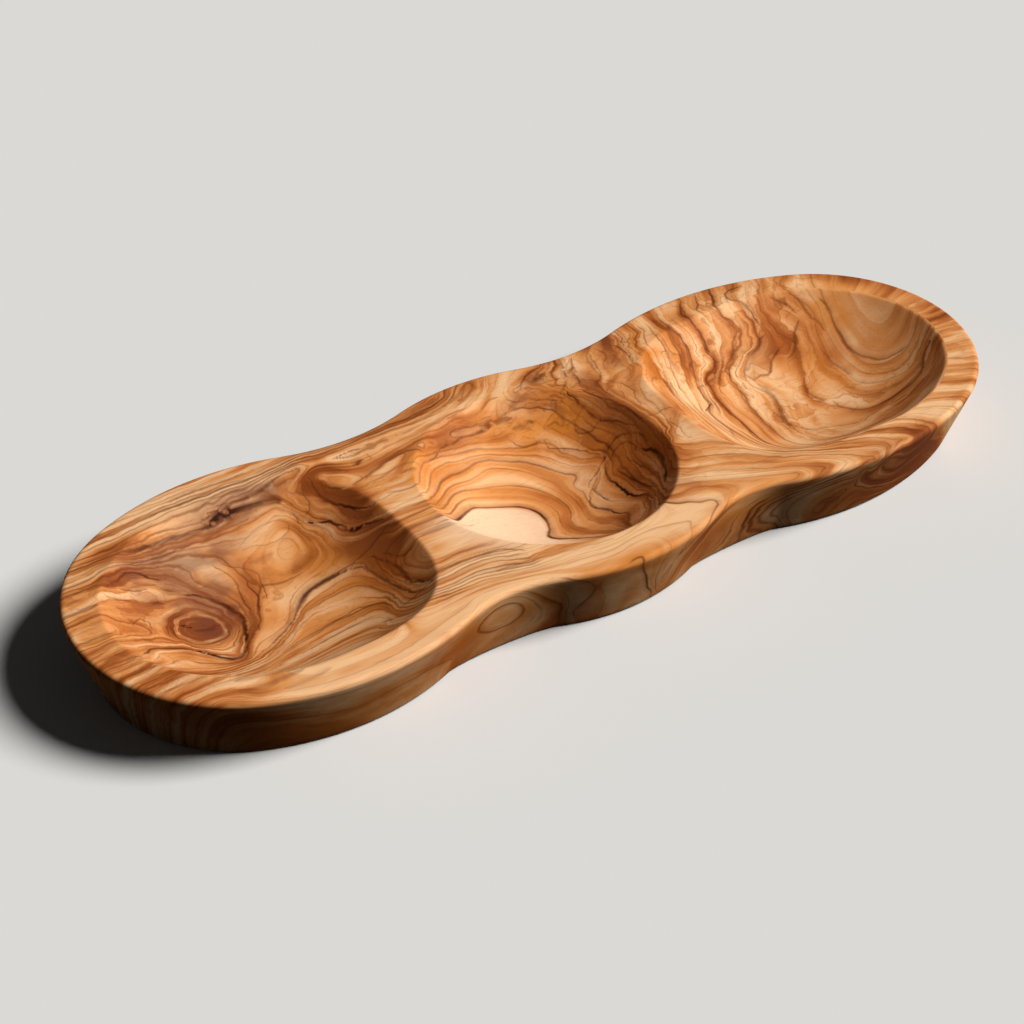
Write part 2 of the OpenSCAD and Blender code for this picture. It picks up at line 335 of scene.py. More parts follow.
right_well_lines = [
    (15, 0.4, [(58, 36), (60, 30), (59.5, 25), (58.5, 20), (57.5, 14), (57, 7), (56, 0), (54, -10),
        (53, -18)]),
    (16, 0.4, [(67, 40), (67, 33), (65, 27), (63, 20), (62, 13), (60.5, 7), (60, 0), (60, -8),
        (59, -16)]),
    (17, 0.6, [(73, 44), (73, 38), (75.5, 33), (74, 28), (72, 23), (70, 19), (69.3, 15), (69, 11.5),
        (66, 8.5), (64, 4), (64, -3), (65, -10), (66, -18), (68, -28)]),
    (18, 0.7, [(84, 47), (82, 43), (81, 39), (82.3, 35), (81.3, 31.5), (83, 28), (80, 24), (76, 21),
        (74.5, 17), (73, 13), (72.3, 7), (72, 1), (71, -5), (70, -11), (70, -18), (73, -28)]),
    (19, 0.6, [(96, 47), (94, 43), (92.3, 39), (93.5, 35), (95.5, 31), (91, 28.5), (87, 25.5),
        (83.7, 22), (83, 18), (84, 14), (81, 9), (80, 3), (79, -3), (78, -9), (77, -15), (77, -22),
        (81, -30)]),
    (20, 0.4, [(104, 44), (101, 38), (101, 32), (100, 28), (97, 25.5), (93, 25), (90, 22),
        (88.5, 18), (89.5, 13), (90.7, 9), (90, 4), (87.5, -1), (85.5, -5), (85, -9), (84, -15),
        (84, -22), (88, -30)]),
]
right_end_lines = [
    (21, 0.35, [(112, 43), (108, 38), (106, 32), (108, 26), (110, 20), (107, 14), (104, 9),
        (101.5, 5), (101, 0), (103, -6), (104.5, -11), (107, -15.5), (111, -18.5), (117, -18.5),
        (124, -19), (130, -17), (136, -12.5)]),
    (22, 0.3, [(119, 39), (117, 33), (119.5, 29), (120, 25), (118, 21), (116.5, 16), (115, 11),
        (116, 5), (115.5, -2), (117, -8), (122, -12), (128, -13), (134, -9.5), (139, -6.5)]),
    (23, 0.3, [(126, 33), (125, 27.5), (124, 22), (123, 16), (122, 9), (121.5, 3), (123.5, -2),
        (128, -4.8), (134, -4.5), (140, -1)]),
]
near_rim_lines = [
    (15, 0.45, [(77, -38.8), (84, -42), (89, -45.5), (93, -49)]),
    (16, 0.5, [(87, -39.5), (94, -42.5), (98, -45.5), (101, -49)]),
    (17, 0.5, [(97, -39.5), (102, -42.5), (104, -45), (106, -48)]),
    (18, 0.3, [(106, -38), (112, -41.5), (116, -44.5)]),
    (19, 0.3, [(114, -36), (120, -39), (124, -41)]),
    (20, 0.3, [(121, -32.5), (127, -36)]),
    (21, 0.4, [(127, -27.5), (133, -31), (136, -33)]),
    (22, 0.4, [(131, -22.8), (138, -26.5)]),
    (23, 0.3, [(135, -17), (143, -19)]),
    (24, 0.3, [(138.5, -10.5), (147, -12)]),
    (25, 0.3, [(140.5, -3), (149, -4)]),
    (26, 0.2, [(141, 5), (149, 5)]),
    (25, 0.2, [(139, 13), (146, 15.5)]),
    (24, 0.2, [(134, 22), (140, 26.5)]),
    (23, 0.4, [(126, 33), (129, 37)]),
    (22, 0.4, [(119, 39), (121, 42)]),
    (21, 0.4, [(112, 43), (113, 46)]),
]
side_lines = [
    (11, 0.3, [(-120, -42.5), (-105, -47), (-92, -48.5), (-78, -47.5), (-65, -44), (-55, -41.5)]),
    (12, 0.3, [(-130, -41), (-118, -48), (-105, -52.5), (-90, -54.5), (-75, -53)]),
    (13, 0.5, [(-125, -52), (-115, -57), (-105, -62), (-95, -63.5), (-80, -62), (-65, -61),
        (-55, -61)]),
    (13, 0.6, [(-49, -50), (-48, -54.5), (-44.5, -57), (-40, -56.5), (-37.5, -53), (-39, -49),
        (-42, -47), (-46.5, -47.5), (-49, -50)]),
    (12, 0.5, [(-35, -47), (-33, -51), (-31, -57), (-33, -62)]),
    (11, 0.6, [(-24, -48), (-20, -53), (-21, -59), (-28, -64)]),
    (11, 0.8, [(-4.5, -50), (-3.3, -55), (-1, -60), (1.5, -66), (6, -71)]),
    (10, 0.5, [(26, -45), (20, -50), (14, -56), (10, -63), (10, -69)]),
    (11, 0.5, [(33, -46), (28, -51), (23, -58), (20, -66)]),
    (12, 0.8, [(43.5, -51), (41.5, -56), (41, -64)]),
    (13, 0.7, [(45, -66), (43.5, -59), (46, -54.5), (52, -52.5), (62, -52.5), (72, -52),
        (80, -50.5)]),
    (14, 0.5, [(50, -66), (50, -60), (56, -56), (66, -55.5), (74, -56), (83, -53)]),
    (15, 0.7, [(62, -69), (66, -63), (73, -60), (77, -62), (84, -67), (95, -69)]),
    (16, 0.5, [(78, -55), (80, -60), (86, -64.5), (95, -66), (104, -64)]),
    (17, 0.6, [(85, -54), (87, -59), (92, -61.5), (98, -60.5), (102, -56)]),
]
# Soft stains that the layers don't explain, and among them patches of painted shade and
# painted light: x and y of the middle, half-length and half-width in mm, turn in degrees and
# strength. Tone is browner, or paler below 0.
tone_stains_painted_shade_and_light = [
    (-112, 10, 20, 13, 0, 0.7), (-110, 6.3, 6.5, 4, 0, 1.8), (-100, 34, 42, 3, 2, 0.5),
    (-78, 10, 10, 8, 0, -0.6), (-73, 14, 4.5, 3.5, 0, 1.0), (-62, 10, 2.5, 5.5, 20, 0.9),
    # (-54, 14) below is darker on the left well's right wall, partly the wood and partly painted
    # shade.
    (-78, 27, 8, 2.7, 5, -0.9), (-54, 14, 4, 18, 0, 0.6), (-85, -16, 24, 10, -15, -0.4),
    (-46, -14, 9, 5, 0, -0.6), (-80, -46, 42, 6, 0, -0.9), (-5, -43, 50, 5, 0, -1.0),
    (-12, 12, 16, 8, 0, -0.4), (29, 5, 7, 24, 0, 0.35), (42, 2, 5, 20, 0, -0.5),
    # (-58, 0) below is painted shade on the left well's right wall.
    (40, -26, 12, 7, -30, -0.5), (-109, 8, 13, 10, 0, 0.5), (-58, 0, 6, 12, 0, 0.5),
    (26, -2, 9, 14, 0, 0.4), (137, 30, 17, 5, -50, 0.8), (147, 4, 4, 18, 0, 0.4),
    (60, 35, 8, 8, 0, -0.4), (74, 2, 16, 22, 0, -0.3), (106, 26, 8, 11, 0, 0.8),
    (128, 12, 9, 13, 0, -0.5), (104, 0, 9, 14, 0, -0.5), (110, -42, 25, 6, -20, -0.4),
    (145, 0, 5, 26, 0, -0.3), (-92, -55, 26, 6, 0, -0.7), (-22, -54, 8, 8, 0, 0.8),
    (-88, 42, 36, 6, 0, -1.3), (-137, 30, 8, 8, 0, -0.6), (-84, -24, 16, 8, 0, -0.5),
    # (32, -58) and (98, -68) below are painted shade on the near side, before the right waist and
    # under the right lobe.
    (32, -58, 9, 12, 0, 1.6), (-20, -60, 12, 10, 0, -1.0), (98, -68, 26, 6, 0, 1.0),
    # (113, -52) and (-130, -46) below are painted shade on the near side of the right lobe and of
    # the left end.
    (113, -52, 14, 8, -15, 0.8), (-130, -46, 20, 9, -35, 0.9), (128, 38, 16, 5, -40, 0.6),
    (-43, 19, 7, 4, 0, -0.6), (-42, -32, 17, 6, 0, -1.1), (-82, -11, 13, 7, 0, -1.1),
    (-112, 31, 16, 4, 5, -0.5), (-55, -35, 12, 5, 0, -0.5), (80, -20, 14, 8, 0, -0.6),
    (115, 0, 6, 9, 0, -0.6), (7, -17, 5, 10, 0, -0.7), (40, 5, 7, 12, 0, 0.5),
    (22, -18, 7, 9, 0, 0.5), (46, 44, 18, 3, 5, 0.7), (-50, -52, 12, 5, 0, 0.5),
    (5, -60, 8, 9, 0, -1.0), (-85, -60, 18, 7, 0, -0.7), (-45, 14, 6, 12, 0, -0.5),
    # (-61, -4) below is painted shade on the left well's right wall.
    (-61, -4, 5, 10, 0, 0.5), (25, 14, 6, 7, 0, -0.5), (98, -8, 9, 12, 0, -0.7),
    (-88, 43, 26, 5, 0, -0.6), (-137, 32, 12, 6, 35, -0.6), (82, 48, 12, 4, 0, -0.6),
    (-6, -40, 30, 5, 0, -0.4), (78, -4, 5, 24, 0, -0.4), (101, -14, 8, 8, 0, -0.7),
    (-84, -12, 16, 8, 0, 0.5), (-82, -28, 14, 6, 0, 0.3), (-120, 32, 12, 6, 0, 0.3),
    (-105, 20, 14, 12, 0, -0.4), (140, 18, 8, 20, 0, 0.5), (-20, -56, 10, 8, 0, -1.2),
    # (-106, -68) and (-132, -52) below are painted shade low on the near side of the left lobe.
    (-5, 4, 10, 10, 0, 0.3), (-106, -68, 36, 7, 5, 0.9), (-132, -52, 16, 9, -40, 0.6),
    (4, 29, 5, 3, 0, 0.9), (12, 24, 4, 3, 30, 0.7), (21, 22, 4, 3, 0, 0.6),
    (-2, 33.5, 6, 2, 0, 0.7), (12, 29, 5, 2.5, 0, -0.8), (17, 25, 3, 2.5, 0, -0.6),
    # (115, -62) below is painted shade low on the near side of the right lobe, and (-57, 4) is
    # painted shade down the left well's right wall.
    (115, -62, 20, 9, -20, 1.2), (-66, 29, 7, 8, 0, 0.6), (-57, 4, 6, 26, 0, 0.5),
    (-122, 20, 16, 6, 0, 0.3), (-146, 4, 7, 24, 0, 0.5), (-138, -24, 9, 12, -50, 0.6),
    # (52, -59) below is painted light: the near side just past the right waist made paler.
    (-40, 38, 18, 6, 0, 0.3), (0, 45, 14, 4, 0, 0.4), (52, -59, 9, 7, 0, -1.6),
    (-75, -58, 20, 5, 0, -0.5), (28, -55, 8, 9, 0, 0.6), (110, 44, 14, 4, -25, 0.4),
    (34, 8, 4, 14, 0, 0.5),
]
red_stains_and_painted_shade = [
    (-20, 24, 14, 5, 35, 0.5), (18, 31, 8, 4, -10, 0.9), (62, 34, 8, 9, 0, 0.5),
    (56, 24, 4, 5, 0, 0.5), (105, 26, 5, 9, 0, 0.9), (116, 18, 4, 11, 0, 0.8),
    (30, 0, 7, 22, 0, 0.3), (-60, -54, 9, 7, 0, 0.9), (-5, 33, 12, 3, 0, 0.5),
    # (-57, 2) below and (-60, 0) on the next line are painted shade: the left well's shaded right
    # wall made redder.
    (-124, 12, 14, 10, 0, 0.2), (-62, 26, 8, 9, 0, 0.5), (-57, 2, 7, 26, 0, 0.4),
    (34, 5, 5, 18, 0, 0.2), (-60, 0, 7, 12, 0, 0.4), (25, 0, 9, 14, 0, 0.5),
    (122, 12, 7, 14, 0, 0.4), (0, -62, 180, 11, 0, 0.6), (0, 62, 180, 11, 0, 0.6),
    (-134, -24, 10, 10, -50, 0.5),
]
purple_stains_painted_sheen_and_shade = [
    (-103, 14, 4, 9, 20, 0.8), (-95, 29, 14, 5, 0, 0.6), (-108.5, 6, 5.5, 3.5, 0, 0.9),
    (23, 37.5, 4, 2.5, 0, 0.8), (34, 32, 3, 5, 0, 0.6), (48, 32.5, 3, 4, 0, 0.6),
    (52, 41, 3, 3.5, 0, 0.6), (-90, 38, 14, 2.5, 5, 0.4), (96, 23, 7, 3, 20, 0.5),
    # (-112, 20) below is partly painted sheen: a grey-purple gloss on the left well's far-left
    # slope, beyond the knot.
    (-80, 36, 12, 3, 0, 1.2), (-112, 28, 16, 5, 8, 0.5), (-112, 20, 16, 12, 0, 0.4),
    (-104, 8, 9, 12, 0, 0.4), (-15, 31, 12, 3, 10, 0.4), (46, 5, 5, 16, 0, 0.4),
    # (-106, 20) below is partly painted sheen on the same slope, and (-58, 8) is painted shade on
    # the left well's right wall.
    (-106, 20, 16, 10, 0, 0.6), (-58, 8, 6, 12, 0, 0.4), (96, -58, 18, 9, 0, 0.7),
    (24, -30, 7, 5, 0, 0.4), (35, 14, 4, 12, 0, 0.4),
]
cream_stains = [(-20, -7, 17, 16, 0, 1.6)]
# Wildness is burl and curly figure, or calm straight figure below 0.
wild_stains = [
    (36, 34, 16, 8, 0, 1.0), (55, 32, 10, 12, 0, 0.7), (90, 30, 30, 14, 0, 0.5),
    (-62, 26, 6, 10, 0, 0.5), (28, 0, 8, 28, 0, 0.1), (90, 0, 40, 25, 0, 0.3),
    (-110, 12, 26, 14, 0, 0.3), (-14, 10, 18, 14, 0, -0.9), (-80, -46, 45, 7, 0, -0.8),
    (5, -43, 42, 6, 0, -0.8), (-45, -12, 8, 16, 0, -0.5), (-75, 22, 11, 9, 0, -0.2),
    (130, 14, 13, 14, 0, -0.9), (68, -8, 12, 24, 0, -0.6), (18, 28, 12, 7, 0, 0.2),
]
# Warmer gold patches of the wells and of the near side
gold_stains = [
    (62, 34, 8, 8, 0, 0.9), (55, 24, 5, 4, 0, 0.6), (-27, 23, 4, 9, -50, 0.7),
    (2, 35.5, 10, 2.5, 0, 0.6), (23, 24, 5, 6, 0, 0.7), (-35, 10, 3, 9, 0, 0.5),
    (110, 8, 6, 10, 0, 0.4), (124, 24, 6, 7, 0, 0.8), (126, -8, 9, 10, 0, 0.5),
    (-74, 24, 9, 8, 0, 0.2), (28, 2, 9, 18, 0, 0.9), (18, 27, 9, 7, 0, 0.7),
    (-76, -4, 22, 24, 0, 0.4), (-66, -4, 8, 26, 0, 0.3), (-10, 4, 20, 18, 0, 0.4),
    (124, 14, 14, 20, 0, 0.4), (-46, -51, 18, 6, 0, 0.9), (-4, -54, 16, 7, 0, 0.9),
    (44, -50, 12, 6, 0, 0.8), (10, 28, 14, 6, 0, 0.6), (-104, -66, 40, 10, 0, 0.5),
]
# Mineral lines and stains that don't follow the layers, drawn over them: round the knot, in
# the burl, across the walls, and the straight streaks of the rim. Each is its darkness, its
# half-width and its points in mm.
knot_ink = [
    (0.9, 1.0, [(-108.5, 19.5), (-105, 18.6), (-102, 15.2), (-99.3, 11.5), (-98, 7), (-98.8, 3),
        (-101, -1.5), (-104, -6)]),
    (1.0, 1.1, [(-103, -5), (-106.5, -9.3), (-109, -10.3), (-111.5, -9), (-114, -6.2),
        (-117, -3.2)]),
    (0.7, 0.6, [(-116, -4), (-121, -1.2), (-127, -0.9), (-131, -2.6), (-134.5, -6.5)]),
    (0.8, 0.6, [(-130, 22.6), (-126, 24.2), (-122.5, 26.6), (-119.5, 27.3), (-116.5, 26.3),
        (-114.5, 24.8), (-111, 25.2)]),
    (0.6, 0.4, [(-127, 22.3), (-122, 21.7), (-118, 22.6), (-113, 21.4), (-108, 20.2)]),
    (0.5, 0.4, [(-121, 24.4), (-117, 23.3), (-112.5, 23.7), (-109.5, 22.5), (-107, 20)]),
    (0.9, 0.9, [(-116.5, 9.6), (-114, 8.4), (-112, 7.2)]),
    (0.5, 1.3, [(-119, 6), (-117.5, 10.8), (-112, 13), (-106, 11.8), (-103, 7.6), (-104, 2.6),
        (-108.5, 0.2), (-114.5, 0.8), (-119, 6)]),
    (0.7, 1.9, [(-113, 6.6), (-109.5, 6.2), (-105.5, 6)]),
    (0.95, 0.5, [(-114, 8.6), (-112, 7), (-110, 7.8), (-107.6, 6.2)]),
    (0.5, 0.4, [(-129.5, 9), (-127.5, 11.5), (-125.5, 12.3), (-124, 11), (-124.3, 8.5)]),
    (0.5, 0.4, [(-132.5, 19), (-130.5, 18.2), (-128, 18.4), (-125, 18)]),
    (0.6, 0.5, [(-119.5, 17.6), (-117, 18.1), (-115.5, 17.2)]),
]
left_well_ink = [
    (0.75, 1.3, [(-122, 32.2), (-112, 33.5), (-104, 34.4), (-96, 34.1), (-90, 34.6), (-86, 36.2),
        (-82, 37.2), (-77, 36.8), (-72, 36.8), (-66, 38.4)]),
    (1.0, 2.7, [(-91, 34.6), (-86, 36), (-80, 36.2), (-76, 35.8), (-72.5, 34.6), (-69.5, 32.4)]),
    (0.5, 0.4, [(-120, 29.4), (-112, 30.6), (-104, 31.6), (-96, 32), (-88, 32.4), (-80, 32.6)]),
    (0.6, 0.4, [(-66.8, 34.6), (-66.3, 32.8), (-64.8, 32), (-63.5, 30.8), (-62.8, 28.5),
        (-63.3, 26.2), (-65.5, 25.2)]),
    (0.5, 0.4, [(-66.5, 35), (-64, 34.8), (-62, 35.5), (-60.5, 35.2)]),
    (0.5, 0.4, [(-65, 33.4), (-63, 32.9), (-61, 34.4)]),
    (0.55, 0.4, [(-68, 28.6), (-67.6, 26.8), (-68.2, 25.2), (-66.5, 23.8), (-65.2, 22)]),
    (0.95, 0.6, [(-66.5, 24), (-64.2, 21.6), (-61.5, 19.8), (-60.2, 17), (-58.8, 13.8),
        (-57.3, 11.6), (-55, 9.6), (-52.5, 7.2), (-50.2, 5.2)]),
    (1.0, 1.1, [(-59.5, 13.5), (-57.8, 11.6), (-55.8, 10.2)]),
    (0.85, 0.55, [(-59.7, 34), (-59.3, 31), (-60, 28), (-58.7, 24.3), (-57, 21.2), (-55.3, 18),
        (-53.5, 15), (-51, 12)]),
    (0.6, 0.45, [(-58.2, 33), (-57.8, 30), (-56.8, 27), (-55, 24.8), (-52.6, 22.8)]),
    (0.5, 0.4, [(-93.8, 26.3), (-93, 24), (-91, 22.3), (-88.5, 20.8), (-86, 19.2), (-86.3, 16),
        (-87.5, 12), (-88.5, 9)]),
    (0.65, 0.5, [(-91, 20.5), (-90, 17.5), (-90.7, 14.5), (-89.6, 12.5), (-91, 9.5), (-93, 6),
        (-95, 2), (-97.5, -1.5)]),
    (0.6, 0.45, [(-96, 25), (-93.8, 21.5), (-93, 18), (-93.5, 14), (-94.8, 10), (-94.6, 6),
        (-96, 2.5)]),
    (0.35, 0.35, [(-86, 27.3), (-82, 28.9), (-78, 29.4), (-73, 28.6), (-70.5, 26.8), (-71.5, 25),
        (-75, 24.2), (-79, 24.6), (-82, 25.8), (-86, 26)]),
    (0.3, 2.4, [(-77.5, 13), (-74, 14.6), (-70.5, 13.8)]),
    (0.3, 1.5, [(-86.5, 22), (-83, 21), (-79, 21.6)]),
    (0.75, 1.5, [(-97, -9), (-91, -5.8), (-87, -3.2), (-84, -0.3), (-81, 2.4), (-77.5, 4.4),
        (-73, 4.4), (-69, 3.4), (-65.5, 2)]),
    (0.55, 0.4, [(-104, -13.4), (-97, -11), (-91, -8), (-86.5, -5), (-83.5, -2)]),
    (0.5, 0.45, [(-97, -15.6), (-90, -13.6), (-85, -12.6), (-80, -12), (-76, -11.7), (-72, -12.6),
        (-69, -14.5), (-67.2, -16.5), (-66.6, -20)]),
    (0.4, 0.6, [(-94, -19.5), (-88, -18.3), (-82, -17.8), (-76, -18.3), (-71, -20)]),
    (0.45, 0.5, [(-97, -26), (-90, -24.3), (-85, -23.6), (-80, -23.8), (-75, -25.6)]),
    (0.8, 0.7, [(-66, 2), (-63.5, 0), (-62.3, -4), (-61.8, -9), (-61.2, -13), (-61.2, -18),
        (-60.5, -24)]),
    (0.8, 0.8, [(-60, 0), (-58, -5), (-57.3, -10), (-57.5, -14), (-58.5, -18), (-57, -22),
        (-56, -26)]),
    (0.7, 0.6, [(-57, -3), (-55.5, -7.5), (-54, -9.4), (-52, -9.6), (-50, -9)]),
    (0.6, 0.5, [(-66, -24.6), (-60, -25.3), (-55, -25.6)]),
    (0.6, 0.5, [(-66, 3.4), (-62, 2.5), (-57, 2.6), (-52, 3.6)]),
    (0.7, 0.8, [(-72, -26), (-70.8, -27), (-70.2, -28.2)]),
]
bridge_ink = [
    (0.45, 0.9, [(-50, 4.8), (-46, 5.3), (-42, 5), (-37.5, 4.8)]),
    (0.3, 0.8, [(-50, 1.2), (-44, 1.2), (-37, 1.4)]),
    (0.35, 1.7, [(-51, -3), (-44, -3.2), (-37, -3)]),
    (0.3, 1.8, [(-50, -7.5), (-44, -8), (-38, -7.8)]),
    (0.25, 0.8, [(-49, 9.5), (-43, 8.5), (-37, 7.5)]),
    (0.45, 0.6, [(-50.5, 12.2), (-46, 14.2), (-42, 13), (-38, 12.3), (-35.5, 13.4)]),
    (0.25, 0.6, [(-50, 15.5), (-44, 16.3), (-40, 15.5), (-35, 16)]),
    (0.25, 0.6, [(-50.5, 19), (-45, 18.6), (-39, 19), (-36, 18.4)]),
    (0.55, 0.8, [(-52.5, 22.6), (-48, 23.6), (-44, 25), (-40, 26.5), (-36, 27.6), (-32, 28.2),
        (-28, 28), (-25, 27.3)]),
    (0.3, 0.7, [(-50, 20.5), (-46, 21.3), (-42, 21), (-38, 22.7), (-33, 23.3), (-29, 22.2)]),
    (0.45, 1.5, [(-36.5, 19.8), (-34, 20), (-31.5, 20.3)]),
    (0.8, 1.3, [(-45.5, 31), (-44, 31.5), (-42, 31.7)]),
    (0.35, 0.5, [(-41, 30.3), (-39.3, 31.7), (-39.5, 33.5)]),
    (0.4, 0.6, [(-49.8, 29.4), (-48, 29.6)]),
    (0.35, 0.5, [(-50, -20), (-42, -20.8), (-35.5, -21.6)]),
    (0.5, 0.9, [(-54, -24.2), (-46, -24.5), (-40, -25), (-34, -25.5), (-31, -27.5), (-28.5, -30)]),
    (0.3, 0.8, [(-40, -33.6), (-30, -34.6), (-22, -36.3), (-14, -38), (-5, -39.5)]),
]
far_rim_ink = [
    (0.4, 0.9, [(-130, 40.3), (-120, 41.3), (-112, 42.2), (-104, 42.6), (-96, 42.4), (-88, 42.6),
        (-82, 42.8), (-76, 42.3), (-68, 42.3), (-58, 43.6)]),
    (0.35, 0.8, [(-98, 45), (-90, 46), (-82, 45.4), (-74, 45.8)]),
    (0.35, 0.5, [(-110, 37.4), (-102, 38.9), (-94, 39), (-86, 39.7), (-78, 39.4)]),
    (0.3, 0.5, [(-110, 35.9), (-103, 37), (-95, 37)]),
    (0.35, 0.6, [(-70, 39.8), (-62, 40.8), (-54, 40.6), (-46, 39.9)]),
    (0.45, 0.7, [(-26, 36.2), (-22, 36.7), (-16, 37.7)]),
    (0.5, 0.7, [(-28, 41.7), (-18, 42), (-12, 43.2), (-6, 45)]),
    (0.4, 0.6, [(-24, 39.3), (-18, 38.9), (-12, 39.2), (-7, 40)]),
    (0.5, 0.9, [(-8, 41), (-4, 42.4), (0, 44.6), (3, 47)]),
    (0.5, 0.8, [(-6, 38.7), (-1, 40.8), (3, 43.5), (6, 46.5)]),
    (0.4, 0.6, [(-10, 36), (-6, 36.8), (-2, 38.3), (3, 41.5), (9, 45.5)]),
]
left_end_ink = [
    (0.6, 0.7, [(-141, 32), (-134, 32.2), (-128, 32.6), (-122, 32.3)]),
    (0.3, 0.5, [(-140, 28.8), (-132, 28.9)]),
    (0.5, 0.5, [(-144, 26), (-138, 26), (-132, 26.3)]),
    (0.55, 0.6, [(-147, 22.7), (-140, 22.8), (-133, 22.8)]),
    (0.3, 0.5, [(-148, 19.6), (-138, 19.8)]),
    (0.65, 1.2, [(-149, 15.3), (-143, 15.2), (-137, 15)]),
    (0.45, 0.8, [(-150, 11), (-144, 10.8), (-138, 10.9)]),
    (0.3, 0.6, [(-150, 6.8), (-140, 6.9)]),
    (0.45, 0.8, [(-150, 2.4), (-144, 2.5), (-139, 2.6)]),
    (0.35, 0.7, [(-150, -3), (-141, -2.8)]),
    (0.4, 0.6, [(-150, -6.3), (-140, -6.6)]),
    (0.5, 0.8, [(-149, -9.8), (-143, -9.6), (-137, -9.9)]),
    (0.35, 0.6, [(-147, -13), (-137, -13.2)]),
    (0.45, 0.7, [(-147, -16.2), (-140, -16), (-134, -16.6)]),
    (0.4, 0.7, [(-146, -20), (-134, -20.4)]),
    (0.45, 0.7, [(-144, -23.4), (-130, -24)]),
    (0.4, 0.8, [(-141, -27), (-127, -27.4)]),
    (0.3, 0.8, [(-137, -30.6), (-123, -31)]),
    (0.4, 1.6, [(-122, -33.5), (-116, -35), (-109, -35.2)]),
    (0.35, 1.4, [(-121, -38.5), (-113, -39.6), (-105, -39.4)]),
    (0.3, 1.2, [(-113, -43.5), (-106, -44), (-99, -43.2)]),
]
middle_well_ink = [
    (0.75, 0.5, [(26.5, 28.3), (27, 26), (27.8, 23.5), (28.3, 21), (28.5, 18.5), (29.6, 15),
        (31, 12.5), (33, 9), (34.5, 5.5), (36, 2.5)]),
    (0.6, 0.45, [(28, 21), (26.5, 20.5), (24, 20.3), (21.5, 20.8), (20.4, 22.3), (19.6, 24),
        (17.5, 24), (15.5, 25.2), (14.3, 27.3)]),
    (0.55, 0.45, [(24.5, 20.3), (23.3, 18), (23.8, 15.8), (26, 14.3), (28.6, 14.6)]),
    (0.8, 0.6, [(30.8, 25), (32, 21.5), (33.5, 18.5), (35, 15.5), (36, 12), (36.8, 8), (37, 3)]),
    (0.8, 0.6, [(24, 3.6), (25.5, 5.8), (28, 6.3), (30.7, 6.4), (33, 4.2), (34.5, 0.5), (34, -3)]),
    (0.7, 0.5, [(25, 2.6), (26.2, 4), (28.6, 4.4), (30.6, 3.6), (31.6, 1), (31, -2)]),
    (1.0, 0.7, [(24, 3.6), (22, 1), (20.9, -3), (20.5, -9), (20, -14), (19.8, -16.5), (21, -18.5),
        (21.8, -20.5), (20.5, -24)]),
    (1.0, 0.9, [(31.5, -1), (32.5, -5.5), (33, -9), (32.5, -12), (31, -15), (29, -18.5),
        (26, -22)]),
    (0.75, 0.6, [(24.3, -2), (24, -7), (24.3, -12), (23.6, -17), (24.4, -20)]),
    (0.6, 0.5, [(28.2, -1), (28.4, -6), (28, -12), (27.4, -17)]),
    (0.7, 0.5, [(24.6, 5.2), (22, 3.5), (20, 2), (17, 1.4), (15.4, 0), (15.2, -4), (15.6, -9.5)]),
    (0.75, 0.5, [(19, 0.8), (16, -0.6), (14, -2.8), (12.3, -4.6), (11, -7.4), (11.5, -11),
        (12.8, -14), (12.2, -17), (12.8, -19.3), (13.8, -20.5), (12, -23.6), (9.6, -27)]),
    (0.6, 0.4, [(24.4, 6), (23, 9), (21, 12), (18.5, 15), (16, 17.5), (14.2, 19.2), (14.4, 21)]),
    (0.45, 0.4, [(5.5, 26.5), (7, 24), (9.5, 22.6), (12.5, 22), (15, 21.4)]),
    (0.45, 0.4, [(-24, 24.6), (-19, 27.4), (-14, 30.6), (-10, 33.4), (-6, 33.5), (-2, 33.2)]),
    (0.55, 0.5, [(-18, 28.4), (-13, 30.2), (-8, 31), (-3, 31), (1, 31.6), (5, 32.4), (9, 31.6)]),
    (0.6, 1.5, [(-1.5, 31.4), (2, 32.3), (6, 32), (9, 31.3)]),
    (0.55, 0.5, [(2, 36), (5, 37), (8, 36.6)]),
    (0.5, 1.5, [(10, 33), (13.5, 34), (16.5, 33.2)]),
    (0.4, 1.8, [(21, 27.5), (22.6, 24.5), (22, 21.5)]),
    (0.4, 1.3, [(8, 28.6), (11, 28), (13, 26)]),
    (0.7, 0.8, [(13.5, 27.8), (14.6, 26.4), (16, 25)]),
]
burl_ink = [
    (0.45, 0.8, [(25, 28), (28.6, 30), (30.5, 33), (32, 36), (33.5, 39.5), (34.5, 43)]),
    (0.6, 0.6, [(32.6, 28.5), (33.6, 32), (34.5, 35.5), (36.2, 38), (38.5, 41)]),
    (0.5, 0.5, [(35.6, 25.4), (38.5, 26.8), (40.5, 29.5), (41.8, 33), (42.8, 36), (44, 40.5)]),
    (0.5, 0.5, [(40, 25.5), (42, 22), (43.2, 19), (43, 15.5), (41.2, 12.5), (40.5, 9.5)]),
    (0.45, 0.5, [(43.2, 31), (44.8, 33.5), (47, 35.4), (48, 38.3), (47.2, 42)]),
    (0.6, 0.6, [(52.2, 26.5), (52, 29.5), (53.4, 33), (54.2, 36.5), (53, 39.5)]),
    (0.55, 0.5, [(16, 36), (17.5, 38), (20.5, 40.5), (25, 42.3)]),
    (0.45, 0.4, [(19.5, 36), (22, 34.6), (26, 34.4), (29.5, 34)]),
    (0.45, 0.4, [(47.3, 23.5), (49.2, 26.5), (48.8, 30.5)]),
    (0.7, 1.6, [(21, 37), (24, 37.8), (27, 39)]),
    (0.6, 1.0, [(31.4, 34.4), (32.4, 36.4)]),
    (0.5, 1.0, [(46.5, 32), (48.5, 33)]),
    (0.5, 0.4, [(36, 20), (38.5, 21.5), (40.6, 21)]),
    (0.4, 0.4, [(38.5, 15), (40, 17), (39.4, 19.4)]),
    (0.45, 0.5, [(38.6, 3), (42, 2.4), (45.5, 3.4), (48.5, 2.6)]),
    (0.4, 0.4, [(41, 0), (42.3, -3.5), (43.2, -7), (41.5, -10.5), (42.6, -13)]),
]
